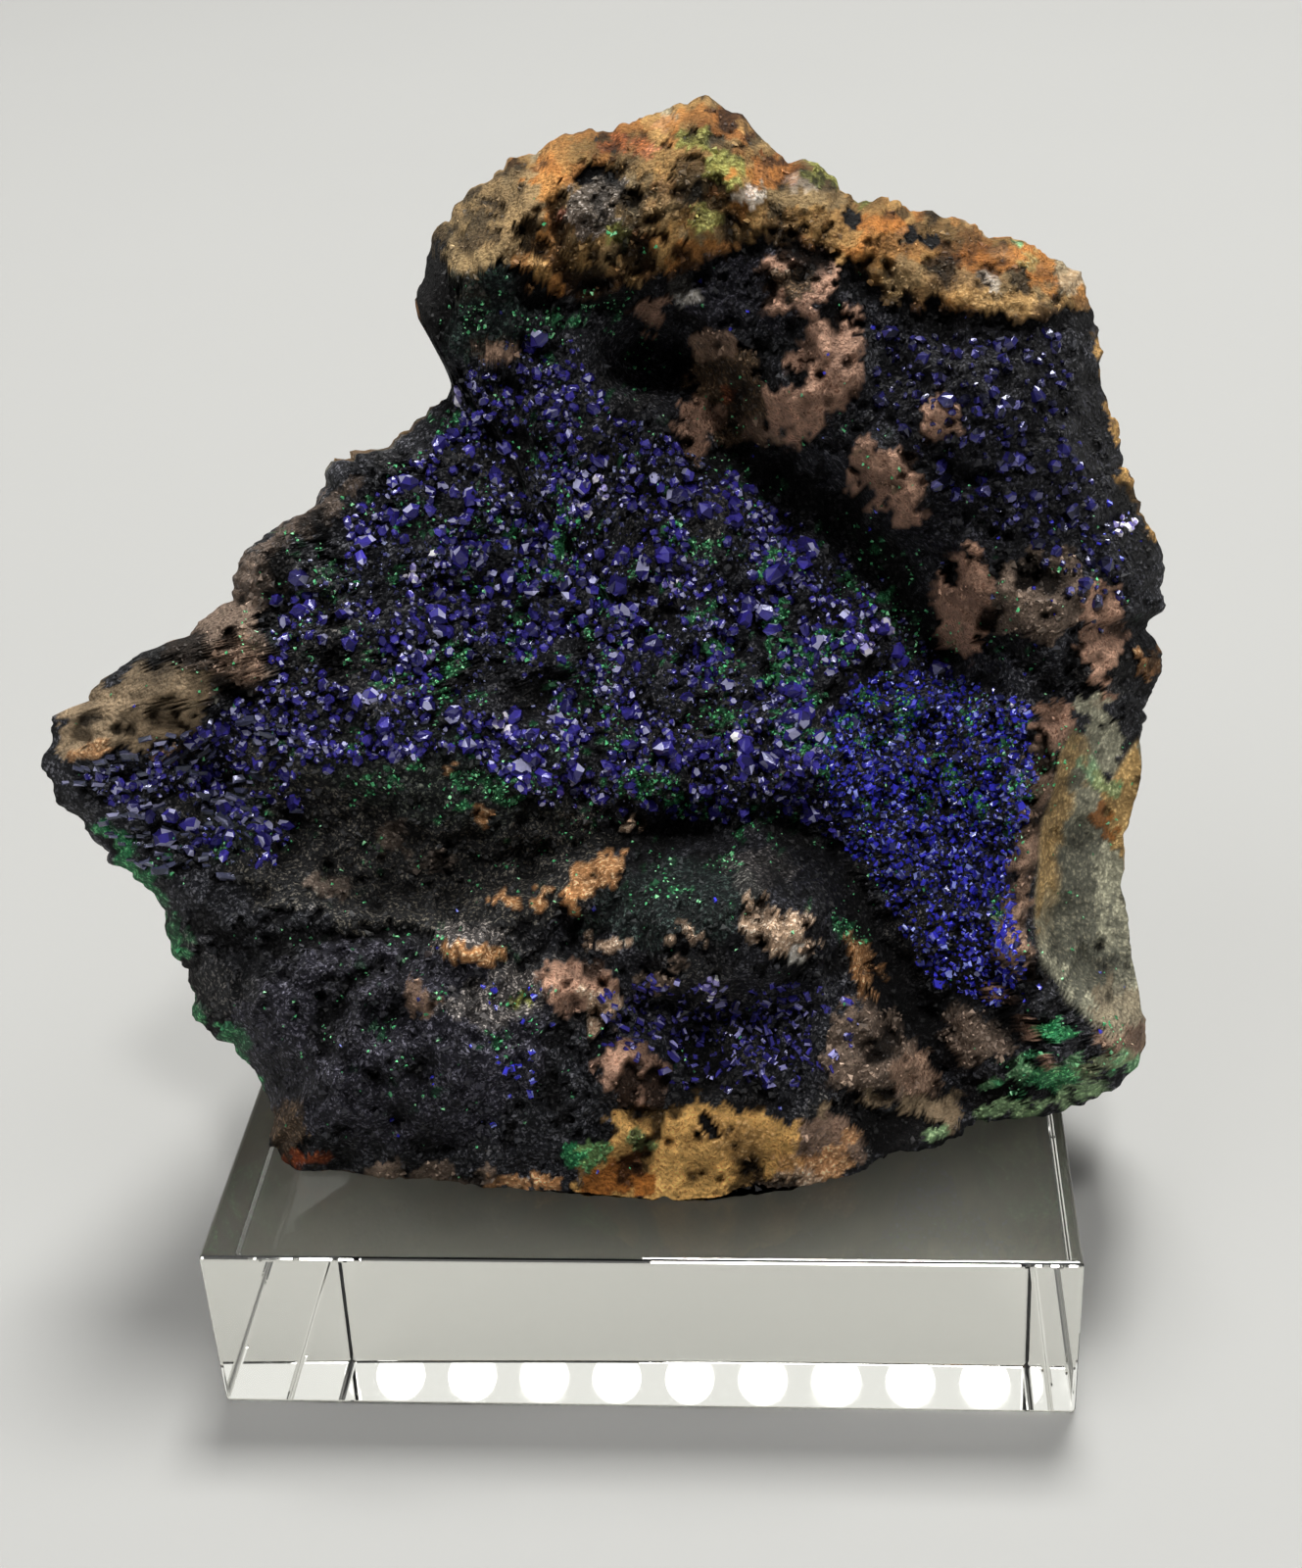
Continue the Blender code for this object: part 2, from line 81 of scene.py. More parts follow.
@dataclass(frozen=True)
class Noise:
    """A pattern in space. Its methods take places as rows and give numbers for each."""

    cell: float                 # side of the coarsest lattice cell
    seed: int                   # chooses another pattern
    layers: int = 3             # how many are summed, each with about half the cell of the last

    def smooth(self, points: Array) -> Array:
        """-1..1: random values on a cubic lattice, blended between its corners.

        Args:
            points: places, as rows.

        Returns:
            The noise at each place.
        """
        scaled = points / self.cell
        corner = np.floor(scaled).astype(np.int64)
        step = scaled - corner
        step = step * step * (3.0 - 2.0 * step)
        total = np.zeros(len(points))
        for shift in np.ndindex(2, 2, 2):
            weight = np.prod(np.where(np.array(shift) == 1, step, 1.0 - step), axis=1)
            total += (hashed(corner + shift, self.seed) * 2.0 - 1.0) * weight
        return total

    def layered(self, points: Array, seed_step: int, fold: Callable[[Array], Array]) -> Array:
        """Sum of layers of smooth noise, each with half the height of the one before.

        Args:
            points: places, as rows.
            seed_step: what a layer's seed is above that of the one before.
            fold: what is done to a layer's values first.

        Returns:
            The sum at each place.
        """
        total = np.zeros(len(points))
        for layer in range(self.layers):
            finer = Noise(self.cell * 0.47 ** layer, self.seed + seed_step * layer)
            total += 0.5 ** layer * fold(finer.smooth(points))
        return total

    def fractal(self, points: Array) -> Array:
        """About -1..1: layers of smooth noise."""
        return self.layered(points, 31, lambda level: level) / 1.5

    def ridged(self, points: Array) -> Array:
        """About -1..1 with sharp crests: one, less 2.4 times the size of smooth noise, in layers."""
        return self.layered(points, 37, lambda level: 1.0 - 2.4 * np.abs(level)) / 1.6

    def cells(self, points: Array) -> tuple[Array, Array, Array]:
        """The nearest of some scattered points, one in each lattice cell.

        Args:
            points: places, as rows.

        Returns:
            The distance as a share of the cell, a random number that belongs to the nearest one,
            and the way to it.
        """
        scaled = points / self.cell
        corner = np.floor(scaled).astype(np.int64)
        best = np.full(len(points), 9.0)
        label = np.zeros(len(points))
        way = np.zeros(points.shape)
        for shift in np.ndindex(3, 3, 3):
            around = corner + np.array(shift) - 1
            spot = np.stack([hashed(around, self.seed + axis) for axis in range(3)], axis=-1)
            gap = around + spot - scaled
            distance = np.linalg.norm(gap, axis=1)
            nearer = distance < best
            best = np.where(nearer, distance, best)
            label = np.where(nearer, hashed(around, self.seed + 3), label)
            way = np.where(nearer[:, None], gap, way)
        return best, label, way * self.cell

    def bubbles(self, points: Array) -> Array:
        """Round grains that meet in creases: a half circle over the distance to scattered points."""
        distance, _, _ = self.cells(points)
        return np.sqrt(np.clip(1.0 - (distance / 0.85) ** 2, 0.0, 1.0))


def smooth_step(low: float, high: float, value: Array) -> Array:
    """0 below low and 1 above high, with an S-shaped climb between them."""
    share = np.clip((value - low) / (high - low), 0.0, 1.0)
    return share * share * (3.0 - 2.0 * share)


# ---- lines and borders

def line_distance(across: Array, up: Array, line: Line) -> tuple[Array, Array]:
    """Distance to an open line, and the side of it.

    Args:
        across: places across the face.
        up: places up the face.
        line: the line's points in order.

    Returns:
        The distance, and 1 to the left of the line's run or -1 to its right.
    """
    best = np.full(len(across), np.inf)
    side = np.zeros(len(across))
    for (a0, u0), (a1, u1) in zip(line, line[1:]):
        run_a, run_u = a1 - a0, u1 - u0
        along = ((across - a0) * run_a + (up - u0) * run_u) / (run_a ** 2 + run_u ** 2)
        along = np.clip(along, 0.0, 1.0)
        off_a = across - a0 - along * run_a
        off_u = up - u0 - along * run_u
        distance = np.hypot(off_a, off_u)
        nearer = distance < best
        side = np.where(nearer, np.sign(run_a * off_u - run_u * off_a), side)
        best = np.where(nearer, distance, best)
    return best, side


def border_depth(across: Array, up: Array, border: Line) -> Array:
    """How far inside a closed border each place lies.

    Formula: the distance to the border, positive where a line to one side crosses it an odd
    number of times.

    Args:
        across: places across the face.
        up: places up the face.
        border: the border's points in order.

    Returns:
        The distance, negative outside the border.
    """
    closed = [*border, border[0]]
    crossings = np.zeros(len(across), dtype=int)
    for (a0, u0), (a1, u1) in zip(closed, closed[1:]):
        spans = (u0 > up) != (u1 > up)
        rise = u1 - u0 if u1 != u0 else 1.0
        crossings += spans & (across < a0 + (up - u0) * (a1 - a0) / rise)
    distance, _ = line_distance(across, up, closed)
    return np.where(crossings % 2 == 1, distance, -distance)


# ---- meshes and objects

def strip(ring: Array, following: Array) -> Array:
    """Two triangles for each step along a closed ring of corners to the ring that follows it.

    Args:
        ring: corner numbers of one ring.
        following: those of the next, as many.

    Returns:
        Corner numbers, three to a row.
    """
    after, after_following = np.roll(ring, -1), np.roll(following, -1)
    return np.concatenate((
        np.column_stack((ring, following, after_following)),
        np.column_stack((ring, after_following, after)),
    ))


def mesh_object(
    name: str, points: Array, triangles: Array, finish: bpy.types.Material, smooth: bool = False,
) -> bpy.types.Object:
    """A mesh object from arrays, at the origin.

    Args:
        name: the object's name.
        points: corners in millimetres, as rows.
        triangles: corner numbers, three to a row.
        finish: its material.
        smooth: whether its faces are shaded smooth.

    Returns:
        The object, linked to the scene.
    """
    mesh = bpy.data.meshes.new(name)
    mesh.vertices.add(len(points))
    mesh.vertices.foreach_set("co", (points * MM).astype(np.float32).ravel())
    mesh.loops.add(triangles.size)
    mesh.loops.foreach_set("vertex_index", triangles.astype(np.int32).ravel())
    mesh.polygons.add(len(triangles))
    mesh.polygons.foreach_set("loop_start", np.arange(0, triangles.size, 3, dtype=np.int32))
    mesh.update(calc_edges=True)
    mesh.polygons.foreach_set("use_smooth", np.full(len(triangles), smooth))
    mesh.materials.append(finish)
    made = bpy.data.objects.new(name, mesh)
    bpy.context.scene.collection.objects.link(made)
    return made


def store(made: bpy.types.Object, name: str, domain: str, values: Array) -> None:
    """Keep numbers or colours on a mesh.

    Args:
        made: the mesh's object.
        name: the attribute's name.
        domain: POINT or FACE.
        values: one number, or a row of three, for each point or face.
    """
    colour = values.ndim == 2
    kind = "FLOAT_COLOR" if colour else "FLOAT"
    attribute = made.data.attributes.new(name, kind, domain)
    if colour:
        values = np.column_stack((values, np.ones(len(values))))
    attribute.data.foreach_set("color" if colour else "value", values.astype(np.float32).ravel())


def tone(red: int, green: int, blue: int) -> Colour:
    """A colour in linear light from its 0..255 screen values."""
    def linear(level: int) -> float:
        """The screen's curve undone for one channel."""
        share = level / 255.0
        return share / 12.92 if share <= 0.04045 else ((share + 0.055) / 1.055) ** 2.4
    return linear(red), linear(green), linear(blue)


# ---- shader maths

@dataclass(frozen=True)
class Value:
    """A number socket of a material, on which + - * and / add Math nodes."""

    graph: "Graph"
    socket: Any

    def _math(self, operation: str, first: Any, second: Any) -> "Value":
        """One Math node on two numbers or sockets."""
        made = self.graph.node("ShaderNodeMath", {"operation": operation}, {0: first, 1: second})
        return Value(self.graph, made.outputs[0])

    def __add__(self, other: Any) -> "Value":
        """Sum."""
        return self._math("ADD", self, other)

    __radd__ = __add__

    def __mul__(self, other: Any) -> "Value":
        """Product."""
        return self._math("MULTIPLY", self, other)

    __rmul__ = __mul__

    def __sub__(self, other: Any) -> "Value":
        """Difference."""
        return self._math("SUBTRACT", self, other)

    def __rsub__(self, other: Any) -> "Value":
        """Difference from a number."""
        return self._math("SUBTRACT", other, self)

    def step(self, low: float, high: float) -> "Value":
        """0 below low and 1 above high, with an S-shaped climb between them.

        Args:
            low: where the climb starts.
            high: where it ends.

        Returns:
            The climb's number.
        """
        made = self.graph.node(
            "ShaderNodeMapRange", {"interpolation_type": "SMOOTHSTEP"},
            {"Value": self, "From Min": low, "From Max": high},
        )
        return Value(self.graph, made.outputs[0])


@dataclass(frozen=True)
class Graph:
    """A material's nodes."""

    tree: bpy.types.NodeTree

    def node(self, kind: str, settings: Mapping[str, Any], inputs: Mapping[Any, Any]) -> Any:
        """Add a node.

        Args:
            kind: the node's type.
            settings: its options, set first.
            inputs: numbers, colours or links for its sockets, by name or place.

        Returns:
            The node.
        """
        made = self.tree.nodes.new(kind)
        for key, value in settings.items():
            setattr(made, key, value)
        for key, value in inputs.items():
            socket = getattr(value, "socket", value)
            if isinstance(socket, bpy.types.NodeSocket):
                self.tree.links.new(socket, made.inputs[key])
            else:
                made.inputs[key].default_value = socket
        return made

    def place(self) -> Any:
        """Object coordinates, in metres."""
        return self.node("ShaderNodeTexCoord", {}, {}).outputs["Object"]

    def number(self, attribute: str) -> Value:
        """A number kept on the mesh."""
        made = self.node("ShaderNodeAttribute", {"attribute_name": attribute}, {})
        return Value(self, made.outputs["Fac"])

    def colour(self, attribute: str) -> Any:
        """A colour kept on the mesh."""
        return self.node("ShaderNodeAttribute", {"attribute_name": attribute}, {}).outputs["Color"]

    def noise(self, size: float, detail: float = 3.0, roughness: float = 0.55) -> Value:
        """Noise in 0..1.

        Args:
            size: width of its lumps in millimetres.
            detail: how many finer layers it has.
            roughness: how strong those are.

        Returns:
            The noise's number.
        """
        inputs = {
            "Vector": self.place(), "Scale": 1.0 / (size * MM), "Detail": detail, "Roughness": roughness,
        }
        return Value(self, self.node("ShaderNodeTexNoise", {}, inputs).outputs[0])

    def grains(self, size: float) -> Value:
        """Distance from scattered points about size millimetres apart."""
        inputs = {"Vector": self.place(), "Scale": 1.0 / (size * MM)}
        return Value(self, self.node("ShaderNodeTexVoronoi", {}, inputs).outputs["Distance"])

    def mixed(self, first: Any, second: Any, share: Any) -> Any:
        """A colour between two."""
        inputs = {0: share, 6: first, 7: second}
        return self.node("ShaderNodeMix", {"data_type": "RGBA"}, inputs).outputs[2]

    def scaled(self, colour: Any, factor: Any) -> Any:
        """A colour made lighter or darker by a number."""
        made = self.node("ShaderNodeVectorMath", {"operation": "SCALE"}, {0: colour, "Scale": factor})
        return made.outputs[0]

    def bumps(self, height: Value, depth: float) -> Any:
        """A normal tilted by a height that spans depth millimetres."""
        inputs = {"Height": height, "Distance": depth * MM, "Strength": 1.0}
        return self.node("ShaderNodeBump", {}, inputs).outputs[0]


def rgba(colour: Colour) -> tuple[float, float, float, float]:
    """A colour with full cover."""
    return (*colour, 1.0)


# ---- minerals

@dataclass(frozen=True)
class Look:
    """How one mineral shows: its colour, the colour of its flecks, and its surface."""

    tint: Colour
    fleck: Colour
    crumble: float              # depth of its fine roughness, 0..1
    # The pits' darkness is painted shade.
    pits: float                 # how many dark pits it has, 0..1
    gloss: float                # shader roughness
    raised: float = 0.0         # how far it stands above its surroundings

    def row(self) -> Array:
        """Its ten numbers, in the order of a cover's channels."""
        return np.array((*self.tint, *self.fleck, self.crumble, self.pits, self.gloss, self.raised))


class Mineral(Enum):
    """What shows at the rock's surface, painted shade among it."""

    BLACK = Look(tone(30, 31, 36), tone(94, 94, 100), 1.0, 0.25, 0.6)
    # A darker copy of BLACK: on the upper right wall it is painted shade.
    NIGHT_BLACK = Look(tone(15, 15, 19), tone(54, 54, 62), 1.0, 0.25, 0.6)
    VIOLET_BLACK = Look(tone(38, 37, 46), tone(104, 102, 114), 1.4, 0.25, 0.6)
    GREEN_BLACK = Look(tone(20, 28, 27), tone(58, 76, 68), 1.0, 0.25, 0.6)
    GREY_SPECKLE = Look(tone(84, 80, 78), tone(196, 186, 178), 1.2, 0.25, 0.6, 0.15)
    DARK_BROWN = Look(tone(42, 42, 42), tone(116, 110, 98), 1.3, 0.35, 0.75)
    # Near black and sunk: painted shade in holes, gullies, cavities and under the cap.
    DARK = Look(tone(9, 8, 9), tone(20, 18, 18), 0.8, 0.1, 0.85, -1.0)
    BROWN = Look(tone(84, 67, 50), tone(126, 100, 74), 1.3, 0.6, 0.8, 0.2)
    UMBER = Look(tone(142, 123, 98), tone(116, 98, 76), 0.6, 0.4, 0.8, 0.2)
    TAN = Look(tone(194, 153, 129), tone(128, 94, 76), 1.2, 0.7, 0.8, 0.5)
    TAN_DIM = Look(tone(170, 139, 117), tone(112, 86, 70), 1.2, 0.7, 0.8, 0.35)
    TAN_DARK = Look(tone(134, 115, 100), tone(90, 74, 64), 1.3, 0.7, 0.8, 0.3)
    TAN_LIGHT = Look(tone(196, 164, 136), tone(240, 218, 194), 1.3, 0.5, 0.75, 0.6)
    ORANGE_TAN = Look(tone(196, 140, 90), tone(236, 196, 150), 1.2, 0.6, 0.75, 0.45)
    WHITE = Look(tone(236, 228, 216), tone(250, 246, 240), 0.6, 0.1, 0.35, 0.6)
    LIMONITE = Look(tone(162, 127, 77), tone(132, 97, 56), 1.1, 0.55, 0.8)
    LIMONITE_GREY = Look(tone(144, 122, 86), tone(110, 92, 64), 1.1, 0.5, 0.75)
    GOLD = Look(tone(204, 155, 90), tone(232, 190, 130), 0.8, 0.4, 0.7, 0.2)
    ORANGE = Look(tone(180, 113, 50), tone(130, 78, 36), 1.0, 0.6, 0.75, 0.1)
    RUST = Look(tone(164, 76, 36), tone(206, 112, 58), 0.8, 0.3, 0.75)
    LIME = Look(tone(134, 138, 66), tone(170, 176, 100), 1.0, 0.5, 0.7, 0.2)
    OCHRE = Look(tone(232, 182, 108), tone(164, 120, 68), 0.9, 0.8, 0.7)
    GREY_OLIVE = Look(tone(138, 136, 116), tone(160, 156, 134), 0.4, 0.1, 0.5)
    SLAB_DARK = Look(tone(94, 94, 82), tone(122, 118, 100), 0.5, 0.2, 0.5)
    SLAB_OCHRE = Look(tone(170, 138, 88), tone(194, 162, 108), 0.6, 0.3, 0.6)
    MALACHITE = Look(tone(44, 126, 78), tone(106, 200, 128), 1.0, 0.2, 0.55)
    MALACHITE_PALE = Look(tone(116, 178, 122), tone(176, 220, 168), 0.7, 0.2, 0.45)
    GREEN_LIP = Look(tone(124, 154, 110), tone(168, 192, 146), 0.7, 0.2, 0.5)


@dataclass(frozen=True)
class Oval:
    """An oval place on the face: a mineral's patch, a lump or pit, or where a bed is dense."""

    across: float
    up: float
    half_width: float
    half_height: float
    turn: float = 0.0           # degrees
    strength: float = 1.0       # height in millimetres of a lump, or a share
    sharpness: float = 1.0      # above 1: flatter, with steeper sides

    def offsets(self, across: Array, up: Array) -> tuple[Array, Array]:
        """Distances from the middle along both axes, as shares of the way to the edge.

        Args:
            across: places across the face.
            up: places up the face.

        Returns:
            The distance along its length, and across it.
        """
        angle = math.radians(self.turn)
        off_a, off_u = across - self.across, up - self.up
        along = (off_a * math.cos(angle) + off_u * math.sin(angle)) / self.half_width
        beside = (off_u * math.cos(angle) - off_a * math.sin(angle)) / self.half_height
        return along, beside

    def relief(self, across: Array, up: Array) -> Array:
        """Strength times the exponential of minus the squared offset raised to the sharpness."""
        along, beside = self.offsets(across, up)
        return self.strength * np.exp(-(along ** 2 + beside ** 2) ** self.sharpness)


def ovals(*rows: Sequence[float]) -> tuple[Oval, ...]:
    """Ovals from rows of their numbers."""
    return tuple(Oval(*row) for row in rows)


def laid(*rows: Sequence[Any]) -> tuple[tuple[Mineral, Oval], ...]:
    """Patches in the order they are laid, from rows of a mineral's name and its ovals."""
    return tuple((Mineral[name], oval) for name, *numbers in rows for oval in ovals(*numbers))


# The near-black patches are painted shade in holes and hollows; the brown one in the middle of the tan
# circle is painted shade in its hole.
FACE_PATCHES = laid(
    ("NIGHT_BLACK", (19.8, 19.8, 7.5, 7.5, -30, 0.9), (27.4, 15.5, 2.6, 9, -10, 0.8)),
    ("DARK_BROWN", (-15.2, -2.9, 13.2, 5.5, -8, 0.8)), ("NIGHT_BLACK", (6, -6.6, 6.5, 3.6, 10, 0.6)),
    ("GREEN_BLACK", (1.5, -7, 5, 2.6, 15, 0.8)),
    ("GREEN_BLACK", (-12, 0.5, 7.5, 3, -5, 0.55), (-24, -2.5, 3, 2, 30, 0.7)),
    ("VIOLET_BLACK", (-15.8, -15.5, 10, 6, 0, 0.9)), ("GREY_SPECKLE", (6.4, -5, 2, 1.2, 0, 0.35)),
    ("GREY_SPECKLE", (-9.2, -12.4, 3.2, 1.6, 5, 0.8), (-11, -8.8, 1.8, 1, 0, 0.8)),
    ("VIOLET_BLACK", (5.5, 28.8, 6, 2.4, -5, 0.7)),
    ("TAN_DARK", (-20.2, 15.3, 3.3, 0.8, 40, 0.5), (-22.9, 12, 1.4, 1.8, 50, 0.5)),
    ("BROWN", (4.4, 23.2, 2.7, 3.2, 10)), ("TAN", (8.2, 29.5, 2.5, 2)), ("BROWN", (8.5, 29.3, 1, 0.8)),
    ("TAN", (10.3, 24.9, 1.9, 3, -12), (8.6, 21.8, 2.2, 1.5, 0, 0.95), (2.4, 20.9, 1.8, 0.9, 10)),
    ("TAN_DIM", (6, 20.6, 1.5, 0.7, 0, 0.8)), ("DARK", (8.9, 24.6, 0.4, 0.8, 0, 0.7)),
    ("TAN_DIM", (3.6, 26, 0.8, 1.2, 0, 0.9)), ("RUST", (4.4, 23.4, 0.5, 0.6, 0, 0.4)),
    ("DARK", (6.6, 25, 0.6, 1.2, 20, 0.8)), ("WHITE", (1.9, 28.6, 0.9, 0.6, 20, 0.6)),
    ("TAN", (0.4, 28, 0.6, 0.6, 0, 0.9), (13.8, 17.8, 1.4, 3.2, 45, 0.9), (17, 22, 0.9, 1.6, -20, 0.95)),
    ("TAN_DARK", (22.6, 10.8, 3.2, 2.8, 0, 0.9)), ("TAN", (18.3, 10.5, 1.8, 3.3, 5, 0.95)),
    ("DARK", (17.8, 12.6, 0.55, 0.5)), ("TAN", (26.3, 8.4, 1.2, 3.6, -6, 0.95)),
    ("GREY_OLIVE", (26, 3.4, 0.8, 2.4, 20, 0.85)), ("TAN", (23.6, 3.2, 1.4, 1.2)),
    ("ORANGE_TAN", (29.1, 7.1, 0.9, 1.1)), ("TAN_DIM", (-8.7, 25.7, 1.3, 0.7, 0, 0.9)),
    ("TAN_DARK", (-25.8, 8.3, 3.4, 2.8, 50, 0.95)), ("TAN_DIM", (-24, 7.2, 1, 1.6, 0, 0.8)),
    ("UMBER", (-29, 4.8, 3.4, 2.3, 20), (-33, 3.4, 2.3, 2.2, 20)),
    ("ORANGE_TAN", (-32.8, 1.8, 1.2, 0.5, 5, 0.7)), ("TAN_DIM", (-28.4, 2, 1.8, 0.5, 5, 0.8)),
    ("TAN_DARK", (-15, -3, 1.5, 0.7, 0, 0.4)),
    ("TAN_DARK", (-18.5, -6, 1.6, 0.8, 0, 0.4), (-12.5, -4.6, 1.3, 0.6, 0, 0.4)),
    ("ORANGE_TAN", (-11.2, 1, 0.9, 0.4, 10, 0.6), (-10, -1.6, 0.4, 0.5, 0, 0.6)),
    ("ORANGE_TAN", (-3.7, -5.5, 2.2, 0.8, 35), (-7, -7.1, 2.1, 0.7, 15), (-10.6, -9.9, 2, 0.6, -5)),
    ("TAN_LIGHT", (-0.8, -3, 0.8, 0.4), (2.1, -9.1, 1.1, 0.4, 0, 0.6)),
    ("TAN_LIGHT", (-1.9, -9.4, 1.1, 0.3, 0, 0.6), (5.8, -7.4, 0.6, 0.9, 10, 0.9)),
    ("TAN_LIGHT", (7.6, -8.8, 2.6, 1.1, -38)), ("WHITE", (8.3, -10.2, 0.9, 0.8)),
    ("DARK", (9.8, -8.6, 0.7, 0.5, 0, 0.8)),
    ("ORANGE_TAN", (12.3, -10.4, 0.7, 1.7, 20, 0.9)), ("TAN_DARK", (0.3, -11.3, 1.4, 0.6)),
    ("TAN", (-3.9, -11.9, 2.2, 1.6)), ("TAN_LIGHT", (-3, -13.5, 0.9, 1.6)),
    ("TAN", (-0.8, -16.9, 2.4, 1.8, -10)), ("TAN_DARK", (12.8, -15.6, 3, 3)),
    ("TAN_DIM", (15.6, -17.2, 1.5, 1.2)), ("UMBER", (13.6, -18.6, 2.8, 0.7, 10), (17, -19, 1.5, 1.1)),
    ("TAN_DARK", (18.8, -15.2, 2, 1.5, -25)),
    ("DARK", (14.6, -20.4, 3.2, 1.1, 6), (20.6, -18, 2.3, 0.9, 8), (18.8, -10.8, 2.8, 2)),
    ("TAN", (22.2, -14.6, 2.4, 0.6, -54)), ("TAN_DIM", (26.6, -15, 2.4, 0.7, -10)),
    ("MALACHITE", (23.5, -14.3, 1.5, 0.7)), ("MALACHITE_PALE", (24.6, -16.8, 4.2, 0.8, 10, 0.8)),
    ("MALACHITE", (23.6, -17.2, 2.4, 0.7, 16, 0.8)), ("TAN_DIM", (26.2, -16.2, 1.6, 0.5, 10, 0.5)),
    ("GREEN_LIP", (22.7, -18.8, 4.4, 0.7, 10)), ("TAN_DIM", (9.2, -21.6, 3, 1.9, 5, 0.6)),
    ("TAN_DARK", (-13, -23.2, 6.5, 0.8, 0, 0.95)), ("ORANGE_TAN", (-7.6, -23.3, 2.8, 0.6, 0, 0.8)),
    ("OCHRE", (2.4, -21.6, 6.6, 3.2, 3), (-1, -22, 3.6, 2.4)), ("ORANGE_TAN", (9.6, -22.2, 2, 1, 10, 0.7)),
    ("GOLD", (4.9, -20.7, 2.2, 1.2, -10, 0.8)), ("ORANGE", (-2.1, -23.2, 2.4, 0.8, -8)),
    ("TAN_LIGHT", (8.6, -23.4, 1.6, 0.7, 10, 0.9)),
    ("DARK", (3.5, -20.1, 0.5, 0.4), (-0.9, -22.4, 1, 0.5, 0, 0.8)),
    ("DARK", (6, -22.6, 1.2, 0.6, 0, 0.9), (7.2, -23.8, 0.9, 0.7, 0, 0.9)),
    ("RUST", (-20.1, -22, 1.3, 0.6, 0, 0.8)), ("BROWN", (-21.2, -20, 1.3, 2.2, 0, 0.8)),
    ("MALACHITE", (-3.4, -21.6, 1.8, 1, 40, 0.85), (-0.5, -20.9, 1, 0.5, 0, 0.7)),
    ("TAN_DIM", (-13.7, -12.6, 1.2, 0.8, 0, 0.8)), ("LIME", (-7.4, -12.9, 0.4, 0.5)),
)

# The near-black patches are painted shade in the cap's pits and cavities.
CAP_PATCHES = laid(
    ("LIMONITE_GREY", (-10, 33, 4, 3.4, 30, 0.9)),
    ("LIMONITE_GREY", (-2.5, 34, 4, 2.4, 0, 0.6), (18.5, 29.4, 6, 1.3, -8, 0.7)),
    ("GREY_SPECKLE", (-3.3, 33.9, 1.7, 1.7, 0, 0.8)),
    ("LIME", (2.6, 37.7, 1.1, 0.9, 0, 0.8), (4.4, 35.9, 1.5, 1, 0, 0.8)),
    ("LIME", (-1.7, 31.7, 1, 0.7, 20, 0.7), (3.6, 33, 0.9, 0.7, 0, 0.7), (10.1, 35.5, 1.5, 0.7, -15, 0.8)),
    ("MALACHITE_PALE", (22.1, 31.3, 0.6, 0.5, 0, 0.9)),
    ("ORANGE", (6.9, 35.7, 1.9, 1.1, -10, 0.85), (4.6, 38.6, 2.2, 0.8, -30, 0.7)),
    ("ORANGE", (12.4, 32.9, 3, 0.6, -10, 0.7), (19.3, 30.7, 1.6, 0.9, -10, 0.6)),
    ("ORANGE", (22.8, 30.2, 1.8, 0.9, -25, 0.7)),
    ("GOLD", (18.6, 28.2, 3.4, 0.7, 5, 0.5)),
    ("RUST", (-1.4, 37.5, 1.6, 0.5, 0, 0.6), (-5.4, 33.1, 0.8, 0.5, 0, 0.6)),
    ("GOLD", (-6.3, 30.1, 0.6, 0.8, 0, 0.8), (-1.3, 30, 0.9, 0.7, 20, 0.8)),
    ("LIMONITE", (9, 33.2, 4.6, 1.4, -12, 0.9)), ("LIMONITE_GREY", (8.8, 34.3, 2.8, 0.8, -4, 0.9)),
    ("GREY_OLIVE", (24.4, 29.6, 1.1, 1, 0, 0.6)), ("WHITE", (9.2, 35.2, 1.2, 0.4, -5, 0.25)),
    ("WHITE", (6, 34.3, 0.5, 0.4, 0, 0.5), (19.8, 29.4, 0.7, 0.5, 0, 0.4)),
    # Painted rim light: a thin gold line along the cap's top edge.
    ("GOLD", (5.6, 39.2, 2.4, 0.4, -40, 0.9)), ("LIME", (11.4, 34.9, 1, 0.4, -40, 0.8)),
    ("DARK", (-3.4, 35.6, 1.6, 0.6, 3), (-6.9, 32.3, 0.8, 1.4, 0, 0.8), (-3.8, 29.7, 1.6, 0.7, -5, 0.9)),
    ("DARK", (0.3, 32.1, 1.1, 0.5, 20, 0.8), (1.9, 34.3, 0.6, 0.7, 0, 0.8), (16.1, 31.9, 1.4, 0.6)),
    ("DARK", (11.6, 33.3, 0.9, 0.35), (18.6, 30.2, 0.5, 0.5, 0, 0.8), (21.4, 29.4, 0.4, 0.9, 20, 0.8)),
    ("DARK", (-8.9, 29.7, 1.8, 0.9)),
    ("GREEN_BLACK", (-10.4, 28, 2.6, 2.8, 0, 0.95)),
    ("DARK", (-12.8, 28.2, 1.3, 3), (-10.2, 32.6, 0.8, 1.6, -35, 0.7)),
)

SLAB_PATCHES = laid(
    ("SLAB_DARK", (24.9, -9, 1.6, 5.2, 10, 0.95), (24.4, -4.2, 0.9, 2.6, 0, 0.8)),
    ("UMBER", (27.4, -13.6, 1.8, 2.4, 20, 0.55)),
    ("SLAB_DARK", (27.3, -9.5, 0.4, 4, 8, 0.6), (25.2, -1.5, 0.6, 2.2, 10, 0.6)),
    ("SLAB_OCHRE", (28.2, -1.4, 1.4, 4.2)), ("ORANGE", (26.9, -2.5, 0.6, 0.9, 0, 0.8)),
    ("MALACHITE_PALE", (26.2, 0.4, 0.5, 1.8, 30, 0.5)), ("TAN_DIM", (28.2, -15.4, 1.8, 1.2)),
)


